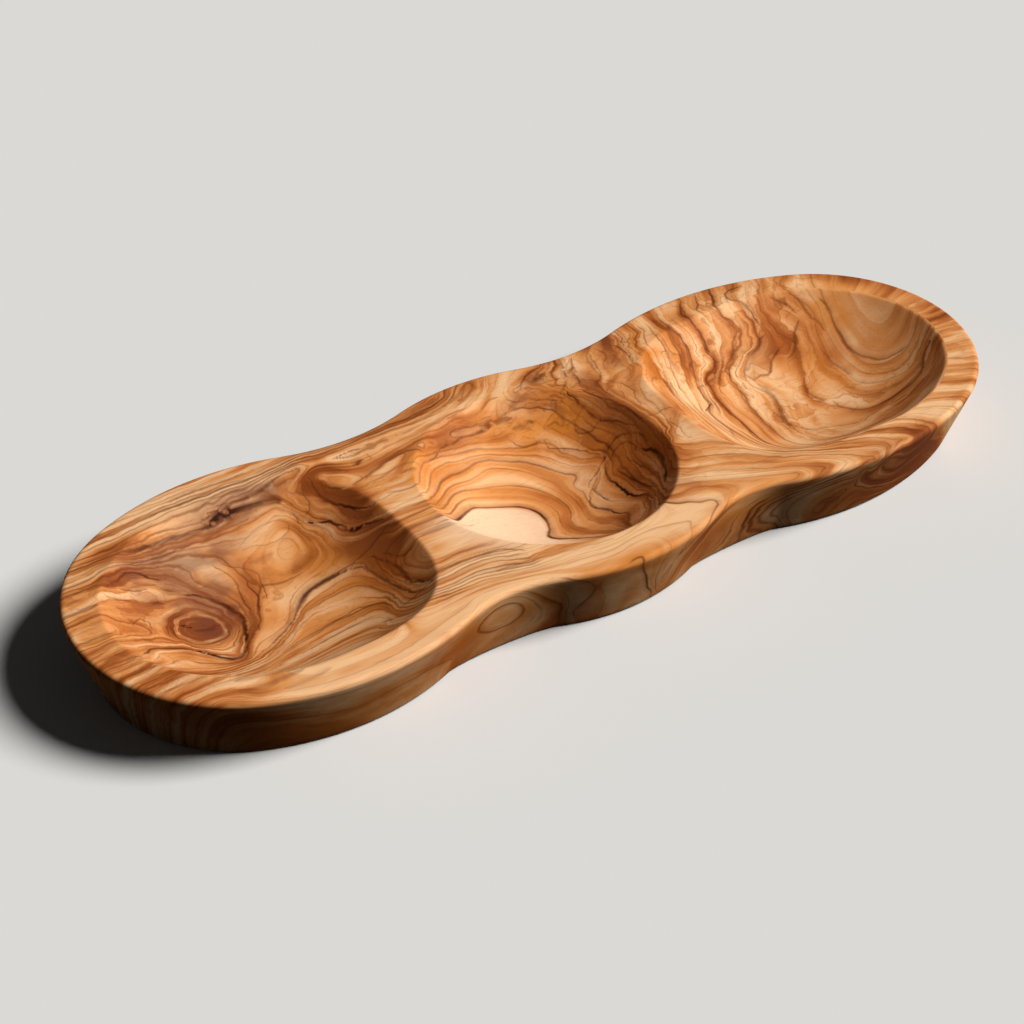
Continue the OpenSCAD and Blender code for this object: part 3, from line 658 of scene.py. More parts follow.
right_well_ink = [
    (0.5, 0.5, [(81.3, 47), (82.8, 43.5), (81, 40.5), (81.3, 38), (82.4, 36), (82.2, 33.6)]),
    (0.6, 0.6, [(81.3, 32.3), (80.7, 31), (82, 29.6), (82.8, 27.5), (81.2, 25), (79, 22.5),
        (77, 21), (74.5, 20), (71.5, 19), (69.6, 18.3), (69, 13.5), (69.3, 10.8), (66.5, 9.5),
        (63.6, 7)]),
    (0.45, 0.5, [(72.5, 19), (73.3, 16), (72.8, 13), (72.3, 9), (71.8, 5), (72, 0), (70, -6.5),
        (69, -11), (69.5, -16)]),
    (0.45, 0.45, [(75.3, 33.5), (74.8, 31), (74, 29), (72.8, 26.5), (71.5, 24.3), (71.8, 21.5)]),
    (0.45, 0.5, [(73, 43), (73, 39.5), (72.2, 37), (74, 36.4), (75.6, 34.6)]),
    (0.55, 0.6, [(95.6, 47), (93.5, 42), (92, 40), (92.3, 37), (94, 35), (95.2, 32)]),
    (0.6, 0.7, [(95, 31.3), (92, 30), (90.3, 27.5), (88, 25.8), (85.5, 24.3), (83.3, 22.5),
        (83.5, 20)]),
    (0.65, 0.7, [(106, 44.6), (101, 44.6), (98.6, 43), (98.2, 39.5), (100.5, 38), (102, 36.5),
        (102.3, 33.5), (103, 31)]),
    (0.55, 0.8, [(102.5, 28), (100, 27), (98, 25.2), (96, 25), (93.5, 24.2)]),
    (0.7, 0.7, [(89.8, 14.4), (91, 16.6), (93.5, 16.9), (95.5, 16.4), (97.5, 17.2), (99.5, 19.5),
        (101.5, 21), (104.5, 22.4)]),
    (0.5, 1.6, [(88.6, 19), (90.4, 14), (91, 10), (90, 6), (88, 2), (86, -2), (85, -6),
        (84.4, -11)]),
    (0.4, 0.8, [(84, 16), (82.5, 13), (81, 10), (80.3, 6), (79.5, 1), (79.5, -5)]),
    (0.35, 0.8, [(60.5, 26), (60, 22), (58.5, 18), (57.5, 13), (57.3, 7)]),
    (0.35, 0.6, [(64.5, 5), (63.3, 1), (64, -4), (62, -8), (60.5, -13)]),
    (0.45, 0.6, [(85.6, -9), (88, -13.5), (91, -15.5), (94, -17.5), (97, -19.5), (99, -22.5)]),
    (0.45, 1.0, [(104, 9.5), (102, 6), (101, 2), (102.4, -2.5)]),
    (0.45, 0.7, [(104, -5), (103.8, -9), (105, -13), (107, -16.5), (110.5, -18.5)]),
    (0.65, 0.7, [(108.5, -18), (113, -19), (118, -19.6), (123, -20), (127, -18.5), (130, -15),
        (133, -12.8), (137, -10.6)]),
    (0.45, 0.5, [(100, -23.4), (103, -21.8), (106, -21.5), (111, -22), (117, -24)]),
    (0.4, 0.8, [(115.5, 14), (114.8, 10), (115.8, 6), (115.8, 1)]),
    (0.5, 0.8, [(124, 27), (125, 23.8), (123.6, 20.5), (123, 17), (122.3, 12), (122, 8), (123, 4),
        (124.5, 0), (127.5, -3.4), (132, -4.6)]),
    (0.4, 0.5, [(110.5, 35.5), (112.5, 33), (114.5, 31), (115.5, 28.5)]),
    (0.45, 0.7, [(116.5, 33.5), (118, 31), (118.5, 28), (119, 25), (120, 22), (119.8, 19)]),
    (0.55, 0.8, [(115, 26), (112, 24.5), (110, 21.5), (108, 19.5), (105, 18.2)]),
    (0.4, 0.5, [(117, 42), (116.5, 38.5), (117, 36), (118.5, 33.5)]),
    (0.35, 0.5, [(110.5, 44.5), (109.5, 42), (109, 39)]),
    (0.35, 0.5, [(128, 35.6), (125.5, 36.4), (123.5, 38.6)]),
]
# For the ink lines, in mm: the step along them, how far their darkness reaches to either side
# and past their ends, the gap it leaves at the half-way line to the next one, and how far
# round a line it is looked for. no_ink is the side, darkness and half-width far from them all.
ink_step = 2.5
ink_band = 3
ink_end = 1.2
ink_room = 1
ink_box = 5
no_ink = (9.0, 0.0, 1.0)
# For the layers: the step along the drawn lines and the reach of their darkness in mm, the
# sheet's unit of length in mm and its slack, and the limits of the spacing in mm
line_step = 4.5
vein_reach = 2.2
sheet_scale = 50
sheet_slack = 0.0005
closest_layers, widest_layers = 0.8, 60


def smooth_through(points, step):
    """Evenly spaced points on a smooth curve (Catmull-Rom) through a line's own points"""
    points = np.array(points, float)
    run = np.concatenate([[0], np.cumsum(np.hypot(*np.diff(points, axis=0).T))])
    spots = np.linspace(0, run[-1], max(2, math.ceil(run[-1] / step) + 1))
    span = np.clip(np.searchsorted(run, spots, side="right") - 1, 0, len(points) - 2)
    t = ((spots - run[span]) / (run[span + 1] - run[span]))[:, None]
    ends = np.vstack([2 * points[0] - points[1], points, 2 * points[-1] - points[-2]])
    a, b, c, d = (ends[span + i] for i in range(4))
    return (2 * b + (c - a) * t + (2 * a - 5 * b + 4 * c - d) * t ** 2
            + (3 * b - a - 3 * c + d) * t ** 3) / 2


def bent_sheet(lines):
    """The thin sheet through the lines' layers, as points, their darkness and weights"""
    runs = [smooth_through(points, line_step) for layer, dark, points in lines]
    points = np.vstack(runs) / sheet_scale
    layers = np.concatenate([np.full(len(run), line[0]) for run, line in zip(runs, lines)])
    darks = np.concatenate([np.full(len(run), line[1]) for run, line in zip(runs, lines)])
    apart = ((points[:, None] - points[None]) ** 2).sum(2)
    count = len(points)
    plane = np.column_stack([np.ones(count), points])
    table = np.zeros((count + 3, count + 3))
    table[:count, :count] = apart * np.log(apart + 1e-20) / 2 + sheet_slack * np.eye(count)
    table[:count, count:] = plane
    table[count:, :count] = plane.T
    weights = np.linalg.solve(table, np.concatenate([layers, np.zeros(3)]))
    return points, darks, weights


def read_sheet(sheet, spots):
    """For spots on the flat skin: their layer, millimetres from layer to layer, and how
    dark the drawn lines near them are"""
    points, darks, weights = sheet
    bend, plane = weights[:len(points)], weights[len(points):]
    rows = []
    for part in np.array_split(spots / sheet_scale, 1 + len(spots) // 4000):
        dx = part[:, :1] - points[:, 0]
        dy = part[:, 1:] - points[:, 1]
        apart = dx ** 2 + dy ** 2
        log = np.log(apart + 1e-20)
        layer = (apart * log / 2) @ bend + plane[0] + part @ plane[1:]
        slope = np.hypot(((log + 1) * dx) @ bend + plane[1], ((log + 1) * dy) @ bend + plane[2])
        near = np.exp(-apart * (sheet_scale / vein_reach) ** 2)
        vein = near @ darks / (near.sum(1) + 0.15)
        spacing = np.clip(sheet_scale / slope, closest_layers, widest_layers)
        rows.append(np.column_stack([layer, spacing, vein]))
    return np.vstack(rows)


def patch_amount(marks, spots):
    """How strong the patches of one list are at spots on the flat skin; the lists hold stains, and
    also painted shade, painted light and painted sheen
    """
    amount = np.zeros(len(spots))
    for x, y, half_length, half_width, turn, strength in marks:
        across = spots - [x, y]
        turned = math.radians(turn)
        u = (across @ [math.cos(turned), math.sin(turned)]) / half_length
        v = (across @ [-math.sin(turned), math.cos(turned)]) / half_width
        amount += strength * np.exp(-(u ** 2 + v ** 2) ** 1.5 / 1.5)
    return amount


ink_lines = (knot_ink + left_well_ink + bridge_ink + far_rim_ink + left_end_ink
             + middle_well_ink + burl_ink + right_well_ink)


def inked(spots):
    """For spots on the flat skin: millimetres to the nearest ink line, above 0 on its left,
    its darkness, and its half-width, which tapers to the line's ends. The darkness fades
    past the ends, and half-way to the next line where that line is on the other side."""
    ink = np.tile(no_ink, (len(spots), 1))
    second = np.full(len(spots), no_ink[0])
    for dark, half_width, points in ink_lines:
        run = smooth_through(points, ink_step)
        steps = np.diff(run, axis=0)
        off_middle = np.abs(spots - (run.min(0) + run.max(0)) / 2)
        close = np.flatnonzero((off_middle < np.ptp(run, axis=0) / 2 + ink_box).all(1))
        gap = spots[close, None] - run[:-1]
        along = np.clip((gap * steps).sum(2) / (steps ** 2).sum(1), 0, 1)
        gap -= along[..., None] * steps
        nearest = (gap ** 2).sum(2).argmin(1)
        rows = np.arange(len(close))
        gap, along, step = gap[rows, nearest], along[rows, nearest], steps[nearest]
        apart = np.hypot(gap[:, 0], gap[:, 1])
        side = np.where(step[:, 0] * gap[:, 1] > step[:, 1] * gap[:, 0], 1, -1)
        taper = 0.3 + 0.7 * np.sin(math.pi * (nearest + along) / len(steps)) ** 0.5
        past_end = (nearest + along <= 0) | (nearest + along >= len(steps))
        presence = np.clip(np.where(past_end, ink_end, ink_band) - apart, 0, 1)
        found = np.column_stack([apart * side, dark * presence, half_width * taper])
        closer = apart < np.abs(ink[close, 0])
        runner_up = ~closer & (apart < np.abs(second[close]))
        second[close[runner_up]] = found[runner_up, 0]
        second[close[closer]] = ink[close[closer], 0]
        ink[close[closer]] = found[closer]
    room = np.clip(np.abs(second) - np.abs(ink[:, 0]) - ink_room, 0, 1)
    ink[:, 1] *= np.where(second * ink[:, 0] < 0, room, 1)
    return ink


shared_lines = (knot_lines + left_well_lines + far_rim_lines + left_bridge_lines
                + middle_well_lines + right_well_lines + side_lines)
well_sheet = bent_sheet(shared_lines + right_end_lines)
rim_sheet = bent_sheet(shared_lines + near_rim_lines)


def figure_at(spots, sheet):
    """Layer, spacing, vein; tone, red, purple; ink side, darkness, width; cream, gold and
    wildness at spots"""
    tone, red, purple, cream, gold, wild = (patch_amount(kind, spots) for kind in (
        tone_stains_painted_shade_and_light, red_stains_and_painted_shade, purple_stains_painted_sheen_and_shade, cream_stains, gold_stains, wild_stains))
    return np.column_stack([read_sheet(sheet, spots), tone, red, purple, inked(spots),
                            cream, gold, wild])


# ---- The dish -------------------------------------------------------------------------
# The whole dish is one piece of wood. Its skin is made of rings round the three wells,
# strips down the side, and rungs across the flat foot, all merged into one closed mesh.
parts = {"spots": [], "figure": [], "faces": []}
bridge_steps = 81
foot_steps = 13
foot_rise = 6


def add_patch(rows, figure, closed):
    """Adds a patch of skin: rows of points, joined into quads that face outwards when the
    rows go from the inside out and each row runs anticlockwise."""
    first = sum(len(spots) for spots in parts["spots"])
    grid = first + np.arange(len(rows) * len(rows[0])).reshape(len(rows), len(rows[0]))
    if closed:
        grid = np.column_stack([grid, grid[:, 0]])
    corners = [grid[:-1, :-1], grid[1:, :-1], grid[1:, 1:], grid[:-1, 1:]]
    parts["spots"].append(np.vstack(rows))
    parts["figure"].append(figure)
    parts["faces"].extend(np.stack(corners, -1).reshape(-1, 4).tolist())


def flat_edge(points):
    """The outer edge of the flat rim, where its rounding begins"""
    return shifted(points, -rim_round, height)[:, :2]


def bridge_line(start, end):
    """Points straight across a bridge, without its two ends"""
    steps = np.linspace(0, 1, bridge_steps)[1:-1, None]
    return start + (end - start) * steps


right_edge, far_edge, left_edge, near_edge = (
    flat_edge(run) for run in (right_run, far_run, left_run, near_run))
well_edges = [
    (left_well, [left_edge, near_edge[:1], bridge_line(near_edge[0], left_edge[0])]),
    (middle_well, [far_edge, left_edge[:1], bridge_line(left_edge[0], near_edge[0]),
                   near_edge, right_edge[:1], bridge_line(right_edge[0], far_edge[0])]),
    (right_well, [right_edge, far_edge[:1], bridge_line(far_edge[0], right_edge[0])]),
]
# The lip's last ring already belongs to the rim.
carved_rings = bowl_steps + lip_steps - 1
for well, edge_parts in well_edges:
    rings = well_rings(well, np.vstack(edge_parts))
    carved = np.vstack(rings[:carved_rings])[:, :2]
    uncut = np.vstack(rings[carved_rings:])[:, :2]
    ring_figure = np.vstack([figure_at(carved, well_sheet), figure_at(uncut, rim_sheet)])
    add_patch(rings, ring_figure, closed=True)

walls = np.array([wall(foot_inset + (waist_inset - foot_inset) * hollow)
                  for hollow in outline[:, 3]])
strips = [shifted(outline, walls[:, level, 0], walls[:, level, 1])
          for level in range(walls.shape[1])]
drops = np.hypot(*np.moveaxis(np.diff(walls, axis=1), 2, 0))
fold = np.column_stack([np.zeros(len(outline)), np.cumsum(drops, axis=1)]) - rim_round
laid = np.vstack([shifted(outline, fold[:, level], 0)[:, :2] for level in range(walls.shape[1])])
side_figure = figure_at(laid, rim_sheet)
add_patch(strips, side_figure, closed=True)

# The foot: rungs from each far point of its edge to the near point across from it
tip = len(right_near)
half = len(outline) // 2
foot = np.roll(strips[-1], -tip, axis=0)
foot_figure = np.roll(side_figure[-len(outline):], -tip, axis=0)
across = -np.arange(half + 1)
far_foot, near_foot = foot[:half + 1], foot[across]
over = np.linspace(0, 1, foot_steps)[:, None, None]
rungs = far_foot + (near_foot - far_foot) * over
rung_figure = foot_figure[:half + 1] + (foot_figure[across] - foot_figure[:half + 1]) * over
# Between, the layers are drawn in from the whole edge, and they rise towards the middle.
inner = rungs[1:-1, :, None, :2]
pull = 1 / (((inner - foot[:, :2]) ** 2).sum(3) + 0.01)
rung_figure[1:-1] = pull @ foot_figure / pull.sum(2)[:, :, None]
rung_length = np.hypot(*(near_foot - far_foot)[:, :2].T)
wide_part = (rung_length / rung_length.max()) ** 2
rung_figure[:, :, 0] += foot_rise * wide_part * np.sin(math.pi * over[:, :, 0])
rung_step = np.maximum(rung_length / (foot_steps - 1), 0.1)
slope_along = np.gradient(rung_figure[:, :, 0], axis=0) / rung_step
rung_gap = np.hypot(*np.moveaxis(np.gradient(rungs, axis=1), 2, 0)[:2])
slope_across = np.gradient(rung_figure[:, :, 0], axis=1) / rung_gap
rung_slope = np.hypot(slope_along, slope_across) + 0.01
rung_figure[:, :, 1] = np.clip(1 / rung_slope, closest_layers, widest_layers)
add_patch(list(rungs), rung_figure.reshape(-1, rung_figure.shape[2]), closed=False)

spots = np.vstack(parts["spots"]) * MM
figure = np.vstack(parts["figure"])
skin = bpy.data.meshes.new("dish_carved")
skin.from_pydata(spots.tolist(), [], parts["faces"])
# The stain attribute holds tone, red and purple, with painted shade, painted light and painted
# sheen among them.
for name, columns in (("growth", figure[:, 0:3]), ("stain", figure[:, 3:6]),
                      ("ink", figure[:, 6:9])):
    skin.attributes.new(name, "FLOAT_VECTOR", "POINT").data.foreach_set("vector", columns.ravel())
for name, column in (("sapwood", figure[:, 9]), ("gold", figure[:, 10]),
                     ("wildness", figure[:, 11])):
    skin.attributes.new(name, "FLOAT", "POINT").data.foreach_set("value", column)
merged = bmesh.new()
merged.from_mesh(skin)
bmesh.ops.remove_doubles(merged, verts=merged.verts, dist=0.01 * MM)
merged.to_mesh(skin)
merged.free()
skin.shade_smooth()
dish = bpy.data.objects.new("dish_carved", skin)
scene.collection.objects.link(dish)


def to_linear(code):
    """A colour for the shader from its sRGB hex code"""
    levels = [int(code[i:i + 2], 16) / 255 for i in (1, 3, 5)]
    return [v / 12.92 if v <= 0.04045 else ((v + 0.055) / 1.055) ** 2.4 for v in levels] + [1]


def add(tree, kind, inputs=None, output=0, **settings):
    """Adds a node with its settings and gives back one of its outputs. inputs maps a
    socket's number or name to a value or to another node's output."""
    node = tree.nodes.new("ShaderNode" + kind)
    for name, value in settings.items():
        setattr(node, name, value)
    for socket, value in (inputs or {}).items():
        if isinstance(value, bpy.types.NodeSocket):
            tree.links.new(value, node.inputs[socket])
        else:
            node.inputs[socket].default_value = value
    return node.outputs[output]


# Oiled olive wood, hand-sanded: honey-gold ground in streaks that follow the growth layers,
# brown lines with one crisp edge, near-black mineral veins, and the satin sheen of oil.
wood = bpy.data.materials.new("oiled_olive_wood")
wood.use_nodes = True
tree = wood.node_tree
tree.nodes.clear()
cream = to_linear("#F9D2AC")
pale = to_linear("#F2BE8A")
honey = to_linear("#DD9456")
amber = to_linear("#B66833")
brown = to_linear("#82421C")
russet = to_linear("#853D17")
umber = to_linear("#3E170A")
black = to_linear("#260D08")
rust = to_linear("#A8521C")
plum = to_linear("#5E3630")
amber_gold = to_linear("#DC8733")

place = add(tree, "TexCoord", output="Object")
x_at = add(tree, "SeparateXYZ", {0: place}, output=0)
y_at = add(tree, "SeparateXYZ", {0: place}, output=1)
# The stain attribute read here carries painted shade, painted light and painted sheen as well as
# stains.
triples = [add(tree, "Attribute", output="Vector", attribute_name=name)
           for name in ("growth", "stain", "ink")]
layer, spacing, vein, tone, red, purple, ink_side, ink_dark, ink_width = [
    add(tree, "SeparateXYZ", {0: triple}, output=i) for triple in triples for i in range(3)]
sapwood, gold, wildness = [add(tree, "Attribute", output="Fac", attribute_name=name)
                           for name in ("sapwood", "gold", "wildness")]


def cloud(sizes, seed, detail=2.0):
    """Soft noise whose grain has these sizes in millimetres along X, Y and Z"""
    grains = add(tree, "VectorMath", {0: place, 1: [1 / (size * MM) for size in sizes]},
                 operation="MULTIPLY")
    return add(tree, "TexNoise", {"Vector": grains, "W": seed, "Scale": 1.0, "Detail": detail},
               noise_dimensions="4D")


# The layers wander at three sizes, and much more in the burl.
wander = 0.0
for sizes, reach, wild_reach, seed in (((16, 11, 11), 1.6, 4.5, 1.0), ((6, 4, 4), 0.8, 1.3, 2.0),
                                       ((1.6, 1.1, 1.1), 0.16, 0.2, 3.0)):
    swing = add(tree, "Math", {0: cloud(sizes, seed), 1: 0.5}, operation="SUBTRACT")
    amount = add(tree, "Math", {0: wildness, 1: wild_reach * 2, 2: reach * 2},
                 operation="MULTIPLY_ADD")
    amount = add(tree, "Math", {0: amount, 1: reach * 0.6}, operation="MAXIMUM")
    wander = add(tree, "Math", {0: swing, 1: amount, 2: wander}, operation="MULTIPLY_ADD")
wander = add(tree, "Math", {0: wander, 1: spacing}, operation="DIVIDE")
depth = add(tree, "Math", {0: layer, 1: wander}, operation="ADD")
# There is a line at every half layer: count is the nearest one, and past is how many
# millimetres beyond it a spot lies.
past = add(tree, "Math", {0: depth, 1: 0.25}, operation="ADD")
count = add(tree, "Math", {0: past, 1: 0.5}, operation="SNAP")
past = add(tree, "Math", {0: depth, 1: count}, operation="SUBTRACT")
past = add(tree, "Math", {0: past, 1: spacing}, operation="MULTIPLY")
from_line = add(tree, "Math", {0: past}, operation="ABSOLUTE")
within = add(tree, "Math", {0: depth}, operation="FRACT")
after_line = add(tree, "Math", {0: within, 1: spacing}, operation="MULTIPLY")


def streaks(rate, reach, seed, detail=2.0):
    """Noise in streaks along the layers: about so many to a layer, and reach mm long"""
    steps = add(tree, "Math", {0: depth, 1: rate}, operation="MULTIPLY")
    x_steps = add(tree, "Math", {0: x_at, 1: 1 / (reach * MM)}, operation="MULTIPLY")
    y_steps = add(tree, "Math", {0: y_at, 1: 1 / (reach * MM)}, operation="MULTIPLY")
    spot = add(tree, "CombineXYZ", {0: steps, 1: x_steps, 2: y_steps})
    return add(tree, "TexNoise", {"Vector": spot, "W": seed, "Scale": 1.0, "Detail": detail},
               noise_dimensions="4D")


# Ground colour: streaks at two sizes, patches with crisp borders, and the soft stains with the
# painted shade and painted light among them
broad = streaks(1.1, 46, 11.0, detail=3.0)
fine = streaks(4.0, 30, 12.0, detail=3.0)
patch = streaks(0.55, 17, 13.0, detail=3.0)
layer_shade = add(tree, "TexWhiteNoise", {"W": count}, noise_dimensions="1D")
busy = add(tree, "MapRange", {0: wildness, 1: -0.8, 2: 0.3, 3: 0.2, 4: 1.0})
broad_swing = add(tree, "Math", {0: broad, 1: 0.5}, operation="SUBTRACT")
broad_swing = add(tree, "Math", {0: broad_swing, 1: busy}, operation="MULTIPLY")
shade = add(tree, "Math", {0: broad_swing, 1: 3.1, 2: 0.3}, operation="MULTIPLY_ADD")
fine_part = add(tree, "MapRange", {0: spacing, 1: 1.2, 2: 3.0, 3: 0.3, 4: 0.9})
fine_swing = add(tree, "Math", {0: fine, 1: 0.5}, operation="SUBTRACT")
shade = add(tree, "Math", {0: fine_swing, 1: fine_part, 2: shade}, operation="MULTIPLY_ADD")
patchy = add(tree, "MapRange", {0: wildness, 1: -0.2, 2: 0.4})
patch_step = add(tree, "MapRange", {0: patch, 1: 0.515, 2: 0.535, 3: -0.05, 4: 0.14})
shade = add(tree, "Math", {0: patch_step, 1: patchy, 2: shade}, operation="MULTIPLY_ADD")
shade = add(tree, "Math", {0: within, 1: 0.22, 2: shade}, operation="MULTIPLY_ADD")
shade = add(tree, "Math", {0: tone, 1: 0.3, 2: shade}, operation="MULTIPLY_ADD")
ramp = tree.nodes.new("ShaderNodeValToRGB")
tree.links.new(shade, ramp.inputs[0])
ramp.color_ramp.elements[0].position = 0.08
ramp.color_ramp.elements[0].color = pale
ramp.color_ramp.elements[1].position = 0.9
ramp.color_ramp.elements[1].color = brown
ramp.color_ramp.elements.new(0.4).color = honey
ramp.color_ramp.elements.new(0.67).color = amber
colour = ramp.outputs[0]
# Gold, red and purple stains; the red and purple carry painted shade on the left well's right wall,
# and the purple a painted sheen beyond the knot.
for strength, hue, most in ((gold, amber_gold, 0.75), (red, rust, 0.6), (purple, plum, 0.65)):
    clouded = add(tree, "MapRange", {0: cloud((9, 5, 5), 14.0 + most), 1: 0.35, 2: 0.6, 3: 0.35})
    soaked = add(tree, "Math", {0: strength, 1: clouded}, operation="MULTIPLY", use_clamp=True)
    soaked = add(tree, "Math", {0: soaked, 1: most}, operation="MULTIPLY")
    colour = add(tree, "Mix", {0: soaked, 6: colour, 7: hue}, output=2, data_type="RGBA")
# The patch of pale sapwood ends at a layer line.
sapwood_layer = 6.1
sap_edge = add(tree, "MapRange", {0: depth, 1: sapwood_layer, 2: sapwood_layer - 0.25})
sap_part = add(tree, "Math", {0: sapwood, 1: sap_edge}, operation="MULTIPLY", use_clamp=True)
sap_part = add(tree, "Math", {0: sap_part, 1: 0.85}, operation="MULTIPLY")
heart_part = add(tree, "Math", {0: 1.0, 1: sap_part}, operation="SUBTRACT")
colour = add(tree, "Mix", {0: sap_part, 6: colour, 7: cream}, output=2, data_type="RGBA")


def soft_line(distance, width, outer, inner, dark, gain):
    """How dark a line is at a distance from it: full within the inner share of its width,
    and fading smoothly to nothing at the outer share"""
    share = add(tree, "Math", {0: distance, 1: width}, operation="DIVIDE")
    full = add(tree, "MapRange", {0: share, 1: outer, 2: inner}, interpolation_type="SMOOTHSTEP")
    full = add(tree, "Math", {0: full, 1: dark}, operation="MULTIPLY")
    return add(tree, "Math", {0: full, 1: gain}, operation="MULTIPLY", use_clamp=True)


# Each layer line has its own darkness, which comes and goes along it. A soft brown stain
# lies on one side of it.
fading = add(tree, "MapRange", {0: cloud((26, 11, 11), 5.0), 1: 0.35, 2: 0.65},
             interpolation_type="SMOOTHSTEP")
plain_dark = add(tree, "Math", {0: layer_shade, 1: 0.42, 2: 0.08}, operation="MULTIPLY_ADD")
roomy = add(tree, "MapRange", {0: spacing, 1: 1.2, 2: 4.0})
for part in (fading, busy, heart_part, roomy):
    plain_dark = add(tree, "Math", {0: plain_dark, 1: part}, operation="MULTIPLY")
drawn_fading = add(tree, "MapRange", {0: fading, 3: 0.65, 4: 1.0})
drawn_dark = add(tree, "Math", {0: vein, 1: drawn_fading}, operation="MULTIPLY")
line_dark = add(tree, "Math", {0: plain_dark, 1: drawn_dark}, operation="MAXIMUM")
line_width = add(tree, "Math", {0: line_dark, 1: 0.8, 2: 0.2}, operation="MULTIPLY_ADD")
core = soft_line(from_line, line_width, 1.0, 0.2, line_dark, 1.25)
halo_width = add(tree, "Math", {0: line_dark, 1: 3.4, 2: 0.7}, operation="MULTIPLY_ADD")
halo = soft_line(after_line, halo_width, 1.0, 0.0, line_dark, 0.8)
colour = add(tree, "Mix", {0: halo, 6: colour, 7: brown}, output=2, data_type="RGBA")

# The ink lines are ragged, with a soft brown wash on their left.
ragged = add(tree, "MapRange", {0: wildness, 1: -1.0, 2: 0.0, 3: 0.4, 4: 1.0})
for sizes, reach, seed in (((7, 4, 4), 2.0, 21.0), ((2.2, 1.4, 1.4), 0.8, 22.0)):
    swing = add(tree, "Math", {0: cloud(sizes, seed), 1: 0.5}, operation="SUBTRACT")
    swing = add(tree, "Math", {0: swing, 1: reach}, operation="MULTIPLY")
    ink_side = add(tree, "Math", {0: swing, 1: ragged, 2: ink_side}, operation="MULTIPLY_ADD")
from_ink = add(tree, "Math", {0: ink_side}, operation="ABSOLUTE")
ink_dark = add(tree, "Math", {0: ink_dark, 1: drawn_fading}, operation="MULTIPLY")
ink_core = soft_line(from_ink, ink_width, 1.1, 0.15, ink_dark, 1.15)
wash_width = add(tree, "Math", {0: ink_width, 1: 3.0, 2: 0.8}, operation="MULTIPLY_ADD")
wash_start = add(tree, "Math", {0: ink_side, 1: wash_width}, operation="DIVIDE")
wash_start = add(tree, "MapRange", {0: wash_start, 1: -0.05, 2: 0.05})
wash = soft_line(ink_side, wash_width, 1.0, 0.0, ink_dark, 0.5)
wash = add(tree, "Math", {0: wash, 1: wash_start}, operation="MULTIPLY")
colour = add(tree, "Mix", {0: wash, 6: colour, 7: brown}, output=2, data_type="RGBA")

# Over these lie thin lines round the patches, then the fibres and pores, which are short
# streaks along the plank, and last the cores of all lines.
for level, most in ((0.522, 0.55), (0.44, 0.3), (0.6, 0.4)):
    off = add(tree, "Math", {0: patch, 1: level}, operation="SUBTRACT")
    off = add(tree, "Math", {0: off}, operation="ABSOLUTE")
    edge = add(tree, "MapRange", {0: off, 1: 0.012, 2: 0.002, 3: 0.0, 4: most})
    for part in (drawn_fading, patchy, heart_part):
        edge = add(tree, "Math", {0: edge, 1: part}, operation="MULTIPLY")
    colour = add(tree, "Mix", {0: edge, 6: colour, 7: brown}, output=2, data_type="RGBA")
fibre = cloud((7, 0.45, 0.45), 8.0, detail=3.0)
fibre_dark = add(tree, "MapRange", {0: fibre, 1: 0.52, 2: 0.8, 3: 0.0, 4: 0.3})
colour = add(tree, "Mix", {0: fibre_dark, 6: colour, 7: brown}, output=2, data_type="RGBA")
line_colour = add(tree, "Mix", {0: line_dark, 6: russet, 7: umber}, output=2, data_type="RGBA")
colour = add(tree, "Mix", {0: core, 6: colour, 7: line_colour}, output=2, data_type="RGBA")
ink_colour = add(tree, "Mix", {0: ink_dark, 6: russet, 7: black}, output=2, data_type="RGBA")
colour = add(tree, "Mix", {0: ink_core, 6: colour, 7: ink_colour}, output=2, data_type="RGBA")

# The top and the wells are burnished with oil; the side was left as the sander left it.
upright = add(tree, "TexCoord", output="Normal")
upright = add(tree, "SeparateXYZ", {0: upright}, output=2)
sanded = add(tree, "MapRange", {0: upright, 1: 0.3, 2: 0.7, 3: 0.3, 4: 0.0})
roughness = add(tree, "MapRange", {0: fibre, 1: 0.3, 2: 0.7, 3: 0.46, 4: 0.58})
roughness = add(tree, "Math", {0: roughness, 1: sanded}, operation="ADD")
relief = add(tree, "Bump", {"Strength": 0.3, "Distance": 0.03 * MM, "Height": fibre})
shader = add(tree, "BsdfPrincipled", {"Base Color": colour, "Roughness": roughness, "IOR": 1.45,
                                      "Specular IOR Level": 0.08,
                                      "Specular Tint": to_linear("#E8C8A8"),
                                      "Normal": relief})
output = tree.nodes.new("ShaderNodeOutputMaterial")
tree.links.new(shader, output.inputs["Surface"])
skin.materials.append(wood)

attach(dish, "root")
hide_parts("dish")

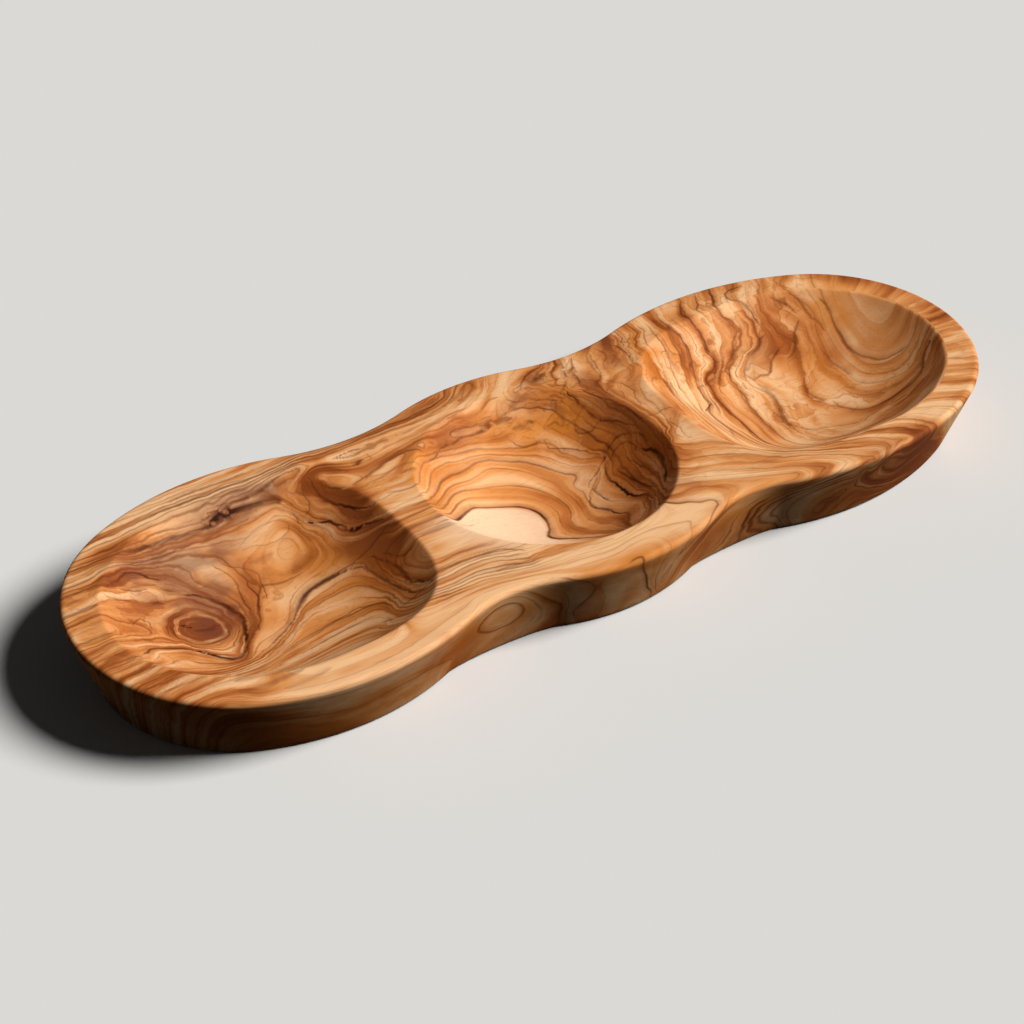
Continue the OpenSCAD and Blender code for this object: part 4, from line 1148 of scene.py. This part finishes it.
# ---- The studio -----------------------------------------------------------------------
# A plain pale floor and one large soft lamp to the right, far enough off to light the floor
# evenly. The floor is pale to the eye and in reflections, but throws little light back, so
# that the side of the dish keeps its shade.
floor_reach = 6.0
floor_mesh = bpy.data.meshes.new("floor")
floor_mesh.from_pydata([(-floor_reach, -floor_reach, 0), (floor_reach, -floor_reach, 0),
                        (floor_reach, floor_reach, 0), (-floor_reach, floor_reach, 0)],
                       [], [(0, 1, 2, 3)])
floor = bpy.data.objects.new("floor", floor_mesh)
scene.collection.objects.link(floor)
matte = bpy.data.materials.new("matte_paper")
matte.use_nodes = True
matte_tree = matte.node_tree
seen = add(matte_tree, "LightPath", output="Is Camera Ray")
for ray in ("Is Glossy Ray", "Is Transmission Ray"):
    seen = add(matte_tree, "Math", {0: seen, 1: add(matte_tree, "LightPath", output=ray)},
               operation="MAXIMUM")
paper = add(matte_tree, "Mix", {0: seen, 6: to_linear("#1F1E1D"), 7: to_linear("#DBD9D5")},
            output=2, data_type="RGBA")
matte_shader = matte_tree.nodes["Principled BSDF"]
matte_tree.links.new(paper, matte_shader.inputs["Base Color"])
matte_shader.inputs["Roughness"].default_value = 0.9
matte_shader.inputs["Specular IOR Level"].default_value = 0.0
floor_mesh.materials.append(matte)

world = bpy.data.worlds.new("studio")
world.use_nodes = True
world.node_tree.nodes["Background"].inputs["Color"].default_value = to_linear("#FFFFFF")
world.node_tree.nodes["Background"].inputs["Strength"].default_value = 0.024
scene.world = world

azimuth, elevation = math.radians(-36), math.radians(43)
to_lamp = Vector((math.cos(azimuth) * math.cos(elevation), math.sin(azimuth) * math.cos(elevation),
                  math.sin(elevation)))
key = bpy.data.lights.new("key", "SUN")
key.angle = math.radians(23)
key.energy = 4.5
lamp = bpy.data.objects.new("key", key)
lamp.location = to_lamp
lamp.rotation_euler = to_lamp.to_track_quat("Z", "Y").to_euler()
scene.collection.objects.link(lamp)

# The camera, at the photograph's angle
lens = bpy.data.cameras.new("camera")
lens.lens = 98.44
lens.sensor_width = 36
camera = bpy.data.objects.new("camera", lens)
camera.location = (-0.3795, -0.5338, 0.4897)
camera.rotation_euler = (math.radians(90 - 36.42), 0, -math.radians(34.55))
scene.collection.objects.link(camera)
scene.camera = camera
